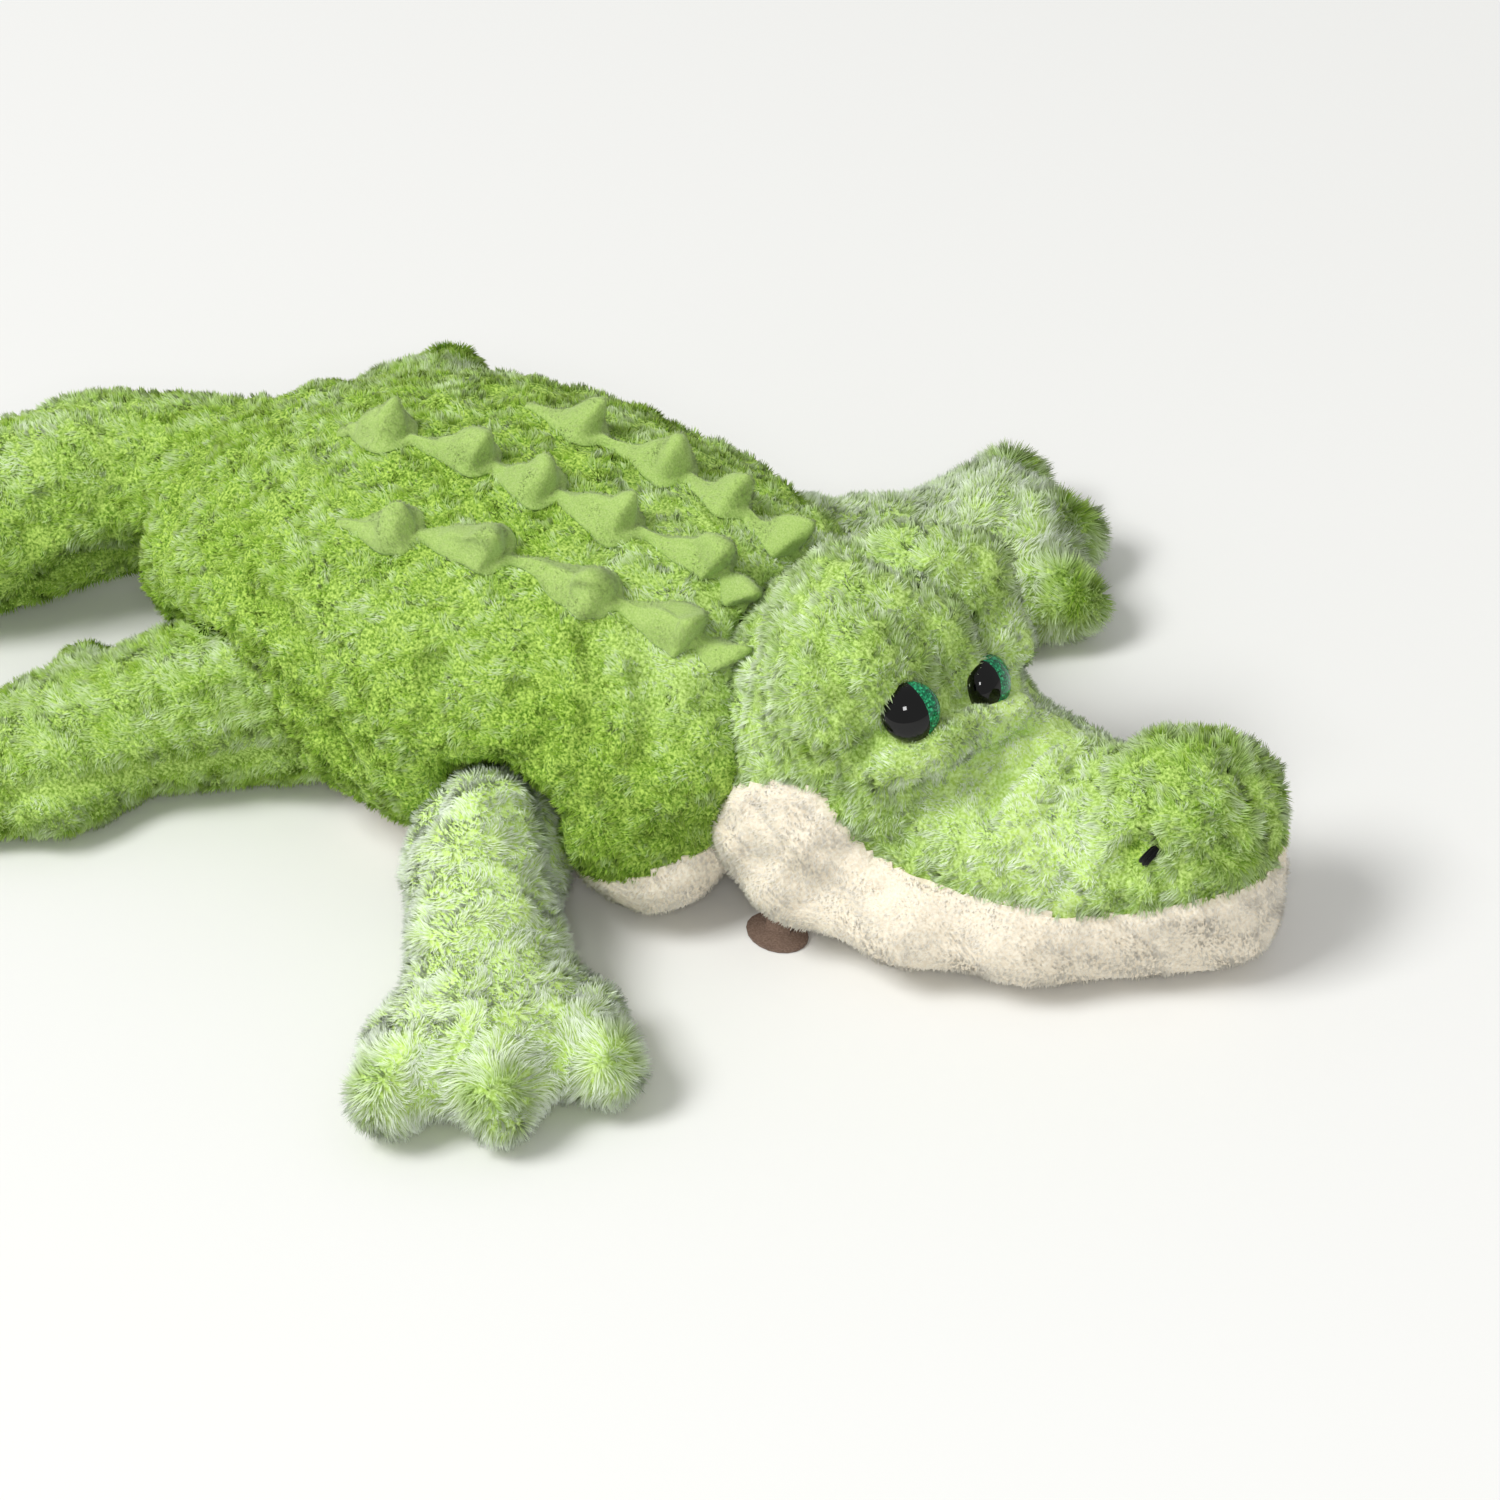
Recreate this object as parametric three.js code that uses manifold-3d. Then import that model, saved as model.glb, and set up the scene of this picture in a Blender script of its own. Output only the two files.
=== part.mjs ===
// A plush crocodile lying on its belly, three quarters of a metre from nose to tail tip.
// Millimetres. +X points to the nose, +Y to the crocodile's left, +Z up, and the floor is z = 0.
// Every limb, the tail and the head are fabric covers sewn to the body round a ball-shaped root.
// Each root turns about its own upright axis in a matching hollow of the body.

import * as THREE from "three";
import Module from "manifold-3d";
import { mergeVertices } from "three/addons/utils/BufferGeometryUtils.js";

const wasm = await Module();
wasm.setup();

// Fabric, clearances and the tools that cut
const skin = 4;
const gap = 0.3;
const fillingGap = 0.4;
const sweepGap = 0.9;
const floorCut = 0.5;

// Body, from rump to chest
const bodyRear = -156;
const bodyFront = 160;
const bodyHalfWidth = 98;
const bodyHeight = 131;
const bodyWidthShares = [0.82, 0.87, 0.96, 1, 0.98, 0.92, 0.84];
const bodyTopShares = [0.9, 0.95, 1, 1, 0.98, 0.94, 0.9];
const bodyEndShare = 0.5;
const bodyLowerShares = [0.9, 0.75, 0.65, 0.58, 0.42, 0.28, 0.32];
const bellySeamHeight = 20;
const bellySeamShares = [[-0.1, 1.8], [0.3, 1], [0.62, 1.1], [0.8, 1.5], [0.9, 2], [1.1, 2.8]];

// Head: a dome turned about the neck axis, two brow lobes, a muzzle, a nose bulb and a jaw
const neckSink = 3;
const neckX = bodyFront - neckSink;
const neckY = 4;
const domeRadius = 64;
const domeHeight = 138;
const cheekHeight = 44;
const crownShare = 1.6;
const chinShare = 2.2;
const browForward = 14;
const browSpread = 25;
const browSink = 35;
const browHeight = domeHeight - browSink;
const browHalfLength = 33;
const browHalfWidth = 32;
const browHalfHeight = 33;
const muzzleLength = 162;
const muzzleBend = 17;
const muzzleHalfWidth = 50;
const muzzleTop = 80;
const muzzleBase = 18;
const muzzlePathShares = [[0, 0], [0.3, -0.1], [0.62, 0.15], [1, 1]];
const muzzleWidthShares = [1.05, 1.06, 0.98, 0.88, 0.82, 0.72];
const muzzleTopShares = [1, 1, 0.92, 0.86, 0.86, 0.8];
const muzzleEndShare = 0.42;
const jawHalfWidth = 62;
const jawHeight = 48;
const jawSetBack = 36;
const jawWidthShares = [1.16, 1.24, 1.12, 0.9, 0.64, 0.42];
const jawTopShares = [1, 1, 1, 0.98, 0.98, 0.96];
const jawEndShare = 0.45;
const noseSetBack = 35;
const noseSink = 21;
const noseBendShare = 0.76;
const noseHalfLength = 34;
const noseHalfWidth = 39;
const noseHalfHeight = 33;
const mouthHeight = 38;
const mouthShares = [[-0.9, 1.6], [-0.05, 1.6], [0.13, 1.2], [0.4, 1], [0.78, 0.98], [1.1, 1.3]];
const browSeamForward = 46;
const neckOpeningShare = 0.72;
const headLow = -14;
const headHigh = 14;

// Legs: a root ball, a tapering limb and a broad paw with three toes
const legLength = 88;
const legRootRadius = 36;
const legHalfWidth = 34;
const legWidthShares = [0.92, 0.96, 1.02, 1.12, 1.22];
const legTopShares = [1, 0.97, 0.86, 0.76, 0.68];
const legEndShare = 0.3;
const legSetBackShare = 0.8;
const legOpeningShare = 0.6;
const pawHalfLength = 33;
const pawHalfWidth = 44;
const pawHeight = 46;
const toeForward = 23;
const sideToeForward = 12;
const toeSpread = 39;
const toeHalfLength = 22;
const toeHalfWidth = 18;
const toeHeight = 36;
const frontRootHeight = 70;
const frontLimbTop = 65;
const hindRootHeight = 80;
const hindLimbTop = 74;
const legs = [
  { name: "front_right", rootShares: [0.662, -0.98], heading: -51, pawTurn: 1, low: -14, high: 18 },
  { name: "front_left", rootShares: [0.665, 0.857], heading: 52, pawTurn: -2, low: -18, high: 14 },
  { name: "hind_right", rootShares: [0.272, -0.571], heading: -147, pawTurn: -26, low: -6, high: 22 },
  { name: "hind_left", rootShares: [0.26, 0.612], heading: 146, pawTurn: 26, low: -22, high: 6 },
];
for (const leg of legs) {
  const [along, across] = leg.rootShares;
  leg.front = leg.name.startsWith("front");
  leg.rootX = THREE.MathUtils.lerp(bodyRear, bodyFront, along);
  leg.rootY = across * bodyHalfWidth;
}

// Tail: its root ball sits in the rump, and it curves to the right as it tapers
const tailSink = 12;
const tailX = bodyRear + tailSink;
const tailY = 14;
const tailLength = 283;
const tailRootRadius = 43;
const tailHeight = 96;
const tailRise = 12;
const tailHalfWidth = 42;
const tailPathShares = [
  [0, 0],
  [-0.13, 0],
  [-0.27, -0.09],
  [-0.42, -0.23],
  [-0.62, -0.33],
  [-0.84, -0.37],
  [-1, -0.36],
];
const tailWidthShares = [0.95, 1, 0.92, 0.78, 0.6, 0.42, 0.3];
const tailTopShares = [1, 0.98, 0.82, 0.66, 0.5, 0.37, 0.27];
const tailBaseShares = [1, 0.8, 0.25, 0, 0, 0, 0];
const tailEndShare = 0.3;
const tailLow = -17;
const tailHigh = 5;

// Scutes: three sewn strips, each a low ridge with stuffed peaks
const peakHalfLength = 23;
const peakHalfWidth = 13;
const peakHeight = 18;
const peakDepth = 9;
const peakShares = [[1, 0], [0.52, 0.36], [0.15, 0.94]];
const ridgeHalfWidth = 5;
const ridgeHalfHeight = 4;
const ridgeRise = 1;
const ridgeSteps = 4;
const scuteRoll = -1.5;
const rowSpread = 23;
const scuteStrips = [
  { name: "right", row: -1, placeShares: [0.465, 0.59, 0.715, 0.85], sizeShares: [1.1, 0.9, 1, 1.1] },
  {
    name: "middle",
    row: 0,
    placeShares: [0.36, 0.5, 0.58, 0.7, 0.825],
    sizeShares: [1, 0.85, 0.95, 0.95, 1],
  },
  { name: "left", row: 1, placeShares: [0.56, 0.675, 0.77, 0.865], sizeShares: [0.8, 0.95, 0.9, 1] },
];

// Eyes: a moulded dome on a shank that a washer locks inside the head
const eyeRadius = 10.5;
const eyeDome = 7;
const eyeSeat = 2;
const shankRadius = 2.4;
const shankLength = 16;
const washerRadius = 8;
const washerThick = 1.6;
const washerDepth = 9;
const eyeAimHeight = 78;
const eyes = [
  { name: "right", turn: -35.6, lift: 27.4 },
  { name: "left", turn: 10.4, lift: 15 },
];

// Nostrils: a thick stitch of thread pulled into a dimple of the nose
const nostrilRadius = 3;
const nostrilLength = 10;
const nostrilSink = 1.5;
const nostrils = [
  { name: "right", turn: -90, lift: 15 },
  { name: "left", turn: 104, lift: 12 },
];

// Tag: a blank suede oval on the floor, with a short tab up to the underside of the jaw
const tagHalfLength = 13;
const tagHalfWidth = 9;
const tagThick = 1.2;
const tagSetBack = 12;
const tagRight = 54;
const tagTurn = -10;
const tabTurn = 100;
const tabLift = 40;
const tabHalfWidth = 5;
const tabLength = 30;

// Facets
const bodySides = 20;
const bodyRings = 12;
const headSides = 14;
const muzzleRings = 7;
const domeSides = 20;
const domeRings = 8;
const ballSides = 12;
const ballRings = 6;
const limbSides = 10;
const limbRings = 4;
const toeSides = 8;
const toeRings = 4;
const tailSides = 12;
const tailRings = 10;
const peakSides = 8;
const roundSides = 12;
const sweepSteps = 3;
const eyeRings = 3;
const threadSides = 8;
const threadRings = 3;
const ridgeFacets = 3;
const tagFacets = 10;
const innerShare = 0.7;
const leastFacets = 4;
const mergeTolerance = 1e-4;

// Colours from the photograph
const fabric = (color) => new THREE.MeshStandardMaterial({ color, roughness: 0.95, metalness: 0 });
const greenPlush = () => fabric(0x8fbf4d);
const creamPlush = () => fabric(0xf0e2cd);
const shortPlush = () => fabric(0x6f9e3f);
const fibre = () => fabric(0xf7f7f2);
const blackGloss = () => new THREE.MeshStandardMaterial({ color: 0x101512, roughness: 0.15, metalness: 0 });
const whiteNylon = () => new THREE.MeshStandardMaterial({ color: 0xe6e6e0, roughness: 0.5, metalness: 0 });
const blackThread = () => fabric(0x14180f);
const brownSuede = () => fabric(0x8a7a6e);

// Manifold solids from three.js geometry, and back
const solidOf = (geometry) => {
  const bare = geometry.index ? geometry : geometry.clone();
  bare.deleteAttribute("normal");
  bare.deleteAttribute("uv");
  const merged = mergeVertices(bare, mergeTolerance);
  const vertProperties = new Float32Array(merged.attributes.position.array);
  const triVerts = new Uint32Array(merged.index.array);
  return new wasm.Manifold(new wasm.Mesh({ numProp: 3, vertProperties, triVerts }));
};

const geometryOf = (solid) => {
  const mesh = solid.getMesh();
  const geometry = new THREE.BufferGeometry();
  geometry.setAttribute("position", new THREE.BufferAttribute(new Float32Array(mesh.vertProperties), 3));
  geometry.setIndex(new THREE.BufferAttribute(new Uint32Array(mesh.triVerts), 1));
  const flat = geometry.toNonIndexed();
  flat.computeVertexNormals();
  return flat;
};

const join = (...solids) => solids.reduce((whole, piece) => whole.add(piece));
const cut = (solid, ...tools) => tools.reduce((left, tool) => left.subtract(tool), solid);
const largest = (solid) =>
  solid.decompose().reduce((best, piece) => (piece.volume() > best.volume() ? piece : best));
const radians = THREE.MathUtils.degToRad;
const stepsTo = (count) => Array.from({ length: count + 1 }, (_, step) => step / count);
const fewer = (count, inset) =>
  inset > 0 ? Math.max(leastFacets, 2 * Math.round((count * innerShare) / 2)) : count;

// A value of a list of shares, read smoothly at u from 0 to 1
const readShares = (shares, u) => {
  const points = shares.map((share) => new THREE.Vector3(share));
  return new THREE.CatmullRomCurve3(points).getPoint(u).x;
};

// A stuffed form: oval sections strung along a path on the floor plan, closed round at both ends
class StuffedForm {
  constructor(values) {
    Object.assign(this, values);
    this.curve = new THREE.CatmullRomCurve3(this.path.map(([x, y]) => new THREE.Vector3(x, y)));
    this.length = this.curve.getLength();
  }

  section(u, inset) {
    const inside = inset / this.length;
    const along = (1 - Math.cos(Math.PI * u)) / 2;
    const travel = THREE.MathUtils.lerp(inside, 1 - inside, along);
    const onPath = THREE.MathUtils.clamp(travel, 0, 1);
    const centre = this.curve.getPointAt(onPath);
    const ahead = this.curve.getTangentAt(onPath);
    centre.addScaledVector(ahead, this.length * (travel - onPath));
    const round = Math.sin(Math.PI * u) ** this.endShare;
    const top = this.top * readShares(this.topShares, along);
    const base = this.baseShares ? this.base * readShares(this.baseShares, along) : this.base;
    centre.z = (top + base) / 2;
    const high = ((top - base) / 2 - inset) * round;
    const wide = (this.halfWidth * readShares(this.widthShares, along) - inset) * round;
    const low = this.lowerShares ? readShares(this.lowerShares, along) : 1;
    return { centre, side: new THREE.Vector3(-ahead.y, ahead.x), wide, high, low };
  }

  // The lower half sags squarely where its share is under 1, as a stuffed belly does on the floor
  point(u, angle, inset = 0) {
    const { centre, side, wide, high, low } = this.section(u, inset);
    const across = Math.sin(angle);
    const up = Math.cos(angle);
    const share = up < 0 ? low : 1;
    centre.addScaledVector(side, wide * Math.sign(across) * Math.abs(across) ** share);
    centre.z += high * Math.sign(up) * Math.abs(up) ** share;
    return centre;
  }

  normal(u, angle) {
    const { side, wide, high } = this.section(u, 0);
    const out = side.clone().multiplyScalar(Math.sin(angle) / wide);
    out.z = Math.cos(angle) / high;
    return out.normalize();
  }

  solid(inset = 0) {
    const sides = fewer(this.sides, inset);
    const rings = fewer(this.rings, inset);
    const vertices = [...this.section(0, inset).centre];
    for (let ring = 1; ring < rings; ring += 1) {
      for (let side = 0; side < sides; side += 1) {
        vertices.push(...this.point(ring / rings, (2 * Math.PI * side) / sides, inset));
      }
    }
    vertices.push(...this.section(1, inset).centre);
    const last = 1 + (rings - 1) * sides;
    const at = (ring, side) => 1 + (ring - 1) * sides + (side % sides);
    const faces = [];
    for (let side = 0; side < sides; side += 1) {
      faces.push(0, at(1, side), at(1, side + 1));
      for (let ring = 1; ring < rings - 1; ring += 1) {
        faces.push(at(ring, side), at(ring + 1, side), at(ring, side + 1));
        faces.push(at(ring, side + 1), at(ring + 1, side), at(ring + 1, side + 1));
      }
      faces.push(at(rings - 1, side + 1), at(rings - 1, side), last);
    }
    const geometry = new THREE.BufferGeometry();
    geometry.setAttribute("position", new THREE.Float32BufferAttribute(vertices, 3));
    geometry.setIndex(faces);
    return solidOf(geometry);
  }
}

// An oval lump, such as a toe or a brow, with its poles up and down
const lump = (centre, halves, inset, sides, rings) => {
  const geometry = new THREE.SphereGeometry(1, fewer(sides, inset), fewer(rings, inset));
  geometry.rotateX(Math.PI / 2);
  geometry.scale(...halves.map((half) => half - inset));
  geometry.translate(...centre);
  return solidOf(geometry);
};

// A root that turns about an upright axis through x, y: its profile gives a radius for each height
const rootSolid = (profile, x, y, sides) => {
  const geometry = new THREE.LatheGeometry(profile, sides);
  geometry.rotateX(Math.PI / 2);
  geometry.translate(x, y, 0);
  return solidOf(geometry);
};

// The hollow that a faceted root turns in: the root's corners clear the middle of each flat
const rootRoom = (profileAt, x, y, sides) => {
  const toCorner = 1 / Math.cos(Math.PI / sides);
  const roomy = profileAt(-gap).map(({ x: radius, y: z }) => new THREE.Vector2(radius * toCorner, z));
  const geometry = new THREE.LatheGeometry(roomy, sides);
  geometry.rotateX(Math.PI / 2);
  geometry.rotateZ(Math.PI / sides);
  geometry.translate(x, y, 0);
  return solidOf(geometry);
};

const ovalProfile = (radius, base, top, inset, rings) => {
  const profile = [];
  for (let step = 0; step <= rings; step += 1) {
    const turn = Math.PI * (step / rings - 1 / 2);
    const rise = ((top - base) / 2 - inset) * Math.sin(turn);
    const out = step % rings === 0 ? 0 : (radius - inset) * Math.cos(turn);
    profile.push(new THREE.Vector2(out, (top + base) / 2 + rise));
  }
  return profile;
};

// Cutting blocks: below a seam that is a curve over x, in front of an upright plane, and the floor
const reach = 2 * (bodyFront - bodyRear);
const below = (seam) => {
  const points = seam.map(([x, z]) => new THREE.Vector2(x, z));
  const outline = [
    new THREE.Vector2(-reach, points[0].y),
    ...new THREE.SplineCurve(points).getPoints(roundSides),
    new THREE.Vector2(reach, points.at(-1).y),
  ];
  const shape = new THREE.Shape(outline);
  shape.lineTo(reach, -reach);
  shape.lineTo(-reach, -reach);
  const geometry = new THREE.ExtrudeGeometry(shape, { depth: 2 * reach, bevelEnabled: false });
  geometry.rotateX(Math.PI / 2);
  geometry.translate(0, reach, 0);
  return solidOf(geometry);
};
const shifted = (seam, rise) => seam.map(([x, z]) => [x, z + rise]);
const beyond = (x) => {
  const geometry = new THREE.BoxGeometry(reach, 2 * reach, 2 * reach);
  geometry.translate(x + reach / 2, 0, 0);
  return solidOf(geometry);
};
const floorGeometry = new THREE.BoxGeometry(2 * reach, 2 * reach, reach);
floorGeometry.translate(0, 0, -reach / 2);
const underFloor = solidOf(floorGeometry);
const stand = (solid) => solid.subtract(underFloor);

// A solid turned about an upright axis, and the room that it sweeps between two angles
const turned = (solid, x, y, degrees) =>
  solid.translate([-x, -y, 0]).rotate([0, 0, degrees]).translate([x, y, 0]);
const sweep = (solid, x, y, low, high) => {
  let room = solid;
  for (let step = 0; step <= sweepSteps; step += 1) {
    room = room.add(turned(solid, x, y, THREE.MathUtils.lerp(low, high, step / sweepSteps)));
  }
  return room;
};

// Body form
const body = new StuffedForm({
  path: [[bodyRear, 0], [bodyFront, 0]],
  halfWidth: bodyHalfWidth,
  widthShares: bodyWidthShares,
  top: bodyHeight,
  topShares: bodyTopShares,
  base: -floorCut,
  endShare: bodyEndShare,
  lowerShares: bodyLowerShares,
  sides: bodySides,
  rings: bodyRings,
});

// Head forms
const domeProfile = (inset) => {
  const profile = [];
  for (let step = 0; step <= domeRings; step += 1) {
    const rise = Math.sin(Math.PI * (step / domeRings - 1 / 2));
    const share = rise > 0 ? crownShare : chinShare;
    const half = rise > 0 ? domeHeight - cheekHeight : cheekHeight + floorCut;
    const lift = Math.abs(rise) ** (2 / share);
    const radius = step % domeRings === 0 ? 0 : (1 - lift ** share) ** (1 / share);
    const z = cheekHeight + Math.sign(rise) * lift * (half - inset);
    profile.push(new THREE.Vector2(radius * (domeRadius - inset), z));
  }
  return profile;
};

const muzzlePath = (setBack) =>
  muzzlePathShares.map(([along, left]) => [
    neckX + (along > 0 ? along * muzzleLength : -setBack),
    neckY + left * muzzleBend,
  ]);

const muzzle = new StuffedForm({
  path: muzzlePath(0),
  halfWidth: muzzleHalfWidth,
  widthShares: muzzleWidthShares,
  top: muzzleTop,
  topShares: muzzleTopShares,
  base: muzzleBase,
  endShare: muzzleEndShare,
  sides: headSides,
  rings: muzzleRings,
});

const jaw = new StuffedForm({
  path: muzzlePath(jawSetBack),
  halfWidth: jawHalfWidth,
  widthShares: jawWidthShares,
  top: jawHeight,
  topShares: jawTopShares,
  base: -floorCut,
  endShare: jawEndShare,
  sides: headSides,
  rings: muzzleRings,
});

const browLobe = (side, inset) => {
  const centre = [neckX + browForward, neckY + side * browSpread, browHeight];
  return lump(centre, [browHalfLength, browHalfWidth, browHalfHeight], inset, ballSides, ballRings);
};

const noseCentre = new THREE.Vector3(
  neckX + muzzleLength - noseSetBack,
  neckY + noseBendShare * muzzleBend,
  muzzleTop - noseSink,
);
const noseBulb = (inset) =>
  lump([...noseCentre], [noseHalfLength, noseHalfWidth, noseHalfHeight], inset, ballSides, ballRings);

const headForm = (inset) =>
  join(
    rootSolid(domeProfile(inset), neckX, neckY, domeSides),
    browLobe(1, inset),
    browLobe(-1, inset),
    muzzle.solid(inset),
    noseBulb(inset),
    jaw.solid(inset),
  );

// Leg form, built along +X from its root axis at the origin
const limbOf = (leg) =>
  new StuffedForm({
    path: [[-legRootRadius * legSetBackShare, 0], [legLength, 0]],
    halfWidth: legHalfWidth,
    widthShares: legWidthShares,
    top: leg.front ? frontLimbTop : hindLimbTop,
    topShares: legTopShares,
    base: -floorCut,
    endShare: legEndShare,
    sides: limbSides,
    rings: limbRings,
  });

const legProfile = (inset, leg) => {
  const top = leg.front ? frontRootHeight : hindRootHeight;
  return ovalProfile(legRootRadius, -floorCut, top, inset, ballRings);
};
const resting = (height) => (height - floorCut) / 2;
const halfOf = (height) => (height + floorCut) / 2;

const pawForm = (turn) => {
  const padHalves = [pawHalfLength, pawHalfWidth, halfOf(pawHeight)];
  const toeHalves = [toeHalfLength, toeHalfWidth, halfOf(toeHeight)];
  const pad = lump([0, 0, resting(pawHeight)], padHalves, 0, limbSides, toeRings);
  const places = [[sideToeForward, -toeSpread], [toeForward, 0], [sideToeForward, toeSpread]];
  const toes = places.map(([x, y]) => lump([x, y, resting(toeHeight)], toeHalves, 0, toeSides, toeRings));
  return join(pad, ...toes).rotate([0, 0, turn]).translate([legLength, 0, 0]);
};

const legForm = (leg) =>
  join(rootSolid(legProfile(0, leg), 0, 0, ballSides), limbOf(leg).solid(), pawForm(leg.pawTurn));
const legInside = (inset, leg) => {
  const halves = [pawHalfLength, pawHalfWidth, halfOf(pawHeight)];
  const pad = lump([legLength, 0, resting(pawHeight)], halves, inset, limbSides, toeRings);
  return limbOf(leg).solid(inset).add(pad);
};
const placeLeg = (solid, leg) => solid.rotate([0, 0, leg.heading]).translate([leg.rootX, leg.rootY, 0]);

// Tail form
const tail = new StuffedForm({
  path: tailPathShares.map(([x, y]) => [tailX + x * tailLength, tailY + y * tailLength]),
  halfWidth: tailHalfWidth,
  widthShares: tailWidthShares,
  top: tailHeight,
  topShares: tailTopShares,
  base: tailRise,
  baseShares: tailBaseShares,
  endShare: tailEndShare,
  sides: tailSides,
  rings: tailRings,
});

const tailProfile = (inset) => ovalProfile(tailRootRadius, tailRise, tailHeight, inset, ballRings);
const tailForm = (inset) => join(rootSolid(tailProfile(inset), tailX, tailY, ballSides), tail.solid(inset));

// The room that the head, legs and tail take in the body as they turn
const sweptHead = join(jaw.solid(-sweepGap), browLobe(1, -sweepGap), browLobe(-1, -sweepGap));
const neckRooms = [
  rootRoom(domeProfile, neckX, neckY, domeSides),
  sweep(sweptHead, neckX, neckY, headLow, headHigh),
];
const rooms = [
  ...neckRooms,
  rootRoom(tailProfile, tailX, tailY, ballSides),
  sweep(tail.solid(-sweepGap), tailX, tailY, tailLow, tailHigh),
  ...legs.flatMap((leg) => {
    const room = rootRoom((inset) => legProfile(inset, leg), leg.rootX, leg.rootY, ballSides);
    const placed = placeLeg(legInside(-sweepGap, leg), leg);
    return [room, sweep(placed, leg.rootX, leg.rootY, leg.low, leg.high)];
  }),
];

const scene = new THREE.Group();
const add = (name, solid, material) => {
  const mesh = new THREE.Mesh(geometryOf(solid), material);
  mesh.name = name;
  scene.add(mesh);
};

// Body: a green back, a cream belly and the fibre inside
const bodyLength = bodyFront - bodyRear;
const bellySeam = bellySeamShares.map(([x, z]) => [bodyRear + x * bodyLength, z * bellySeamHeight]);
const bodySkin = cut(stand(body.solid()), body.solid(skin), ...rooms);
add("body_back_cover", largest(bodySkin.subtract(below(shifted(bellySeam, gap)))), greenPlush());
add("belly_panel", largest(bodySkin.intersect(below(bellySeam))), creamPlush());
add("body_filling", largest(cut(body.solid(skin + fillingGap), ...rooms)), fibre());

// Head: the eyes and nostrils are set first, because the covers and the filling make room for them
const headOuter = headForm(0);
const aim = (turn, lift) => {
  const level = new THREE.Vector3(Math.cos(radians(turn)), Math.sin(radians(turn)), 0);
  return level.multiplyScalar(Math.cos(radians(lift))).setZ(Math.sin(radians(lift)));
};
const outermost = (solid, origin, direction) => {
  const mesh = new THREE.Mesh(geometryOf(solid), new THREE.MeshBasicMaterial({ side: THREE.DoubleSide }));
  return new THREE.Raycaster(origin, direction).intersectObject(mesh).at(-1).point;
};
const placeAlong = (geometry, point, direction) => {
  const turn = new THREE.Quaternion().setFromUnitVectors(new THREE.Vector3(0, 0, 1), direction);
  geometry.applyQuaternion(turn);
  geometry.translate(...point);
  return solidOf(geometry);
};
const lathe = (points, sides = roundSides) => {
  const geometry = new THREE.LatheGeometry(points.map(([r, z]) => new THREE.Vector2(r, z)), sides);
  geometry.rotateX(Math.PI / 2);
  return geometry;
};

const eyeGeometry = () => {
  const arc = stepsTo(eyeRings).map((share) => {
    const turn = (Math.PI / 2) * share;
    return [share === 1 ? 0 : eyeRadius * Math.cos(turn), eyeDome * Math.sin(turn)];
  });
  const shank = [[0, -shankLength], [shankRadius, -shankLength], [shankRadius, -eyeSeat]];
  return lathe([...shank, [eyeRadius, -eyeSeat], ...arc]);
};
const washerBack = -washerDepth;
const washerFront = washerBack + washerThick;
const washerBore = shankRadius + gap;
const washerGeometry = () =>
  lathe([
    [washerBore, washerBack],
    [washerRadius, washerBack],
    [washerRadius, washerFront],
    [washerBore, washerFront],
    [washerBore, washerBack],
  ]);

// The room that an eye takes: its seat, the pocket of its washer and the bore for its shank
const eyeRoomGeometry = () =>
  lathe([
    [0, -shankLength - gap],
    [shankRadius + gap, -shankLength - gap],
    [shankRadius + gap, washerBack - gap],
    [washerRadius + gap, washerBack - gap],
    [washerRadius + gap, washerFront + gap],
    [shankRadius + gap, washerFront + gap],
    [shankRadius + gap, -eyeSeat - gap],
    [eyeRadius + gap, -eyeSeat - gap],
    [eyeRadius + gap, eyeDome + gap],
    [0, eyeDome + gap],
  ]);

const headRooms = [];
const eyeAim = new THREE.Vector3(neckX, neckY, eyeAimHeight);
for (const eye of eyes) {
  const direction = aim(eye.turn, eye.lift);
  const point = outermost(headOuter, eyeAim, direction);
  add(`eye_${eye.name}`, placeAlong(eyeGeometry(), point, direction), blackGloss());
  add(`eye_washer_${eye.name}`, placeAlong(washerGeometry(), point, direction), whiteNylon());
  headRooms.push(placeAlong(eyeRoomGeometry(), point, direction));
}

const nostrilGeometry = (room) => {
  const straight = nostrilLength - 2 * nostrilRadius;
  const geometry = new THREE.CapsuleGeometry(nostrilRadius + room, straight, threadRings, threadSides);
  geometry.rotateZ(Math.PI / 2);
  geometry.translate(0, 0, -nostrilSink);
  return geometry;
};
for (const nostril of nostrils) {
  const direction = aim(nostril.turn, nostril.lift);
  const point = outermost(headOuter, noseCentre, direction);
  add(`nostril_stitch_${nostril.name}`, placeAlong(nostrilGeometry(0), point, direction), blackThread());
  headRooms.push(placeAlong(nostrilGeometry(gap), point, direction));
}

const mouthSeam = mouthShares.map(([x, z]) => [neckX + x * muzzleLength, z * mouthHeight]);
const neckOpening = beyond(neckX - neckOpeningShare * domeRadius);
const headSkin = cut(stand(headOuter), headForm(skin), ...headRooms).intersect(neckOpening);
const headTop = headSkin.subtract(below(shifted(mouthSeam, gap)));
const browSeamX = neckX + browSeamForward;
add("head_crown_cover", largest(headTop.subtract(beyond(browSeamX))), greenPlush());
add("muzzle_cover", largest(headTop.intersect(beyond(browSeamX + gap))), greenPlush());
add("jaw_panel", largest(headSkin.intersect(below(mouthSeam))), creamPlush());
add("head_filling", largest(cut(headForm(skin + fillingGap), ...headRooms)), fibre());

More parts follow.
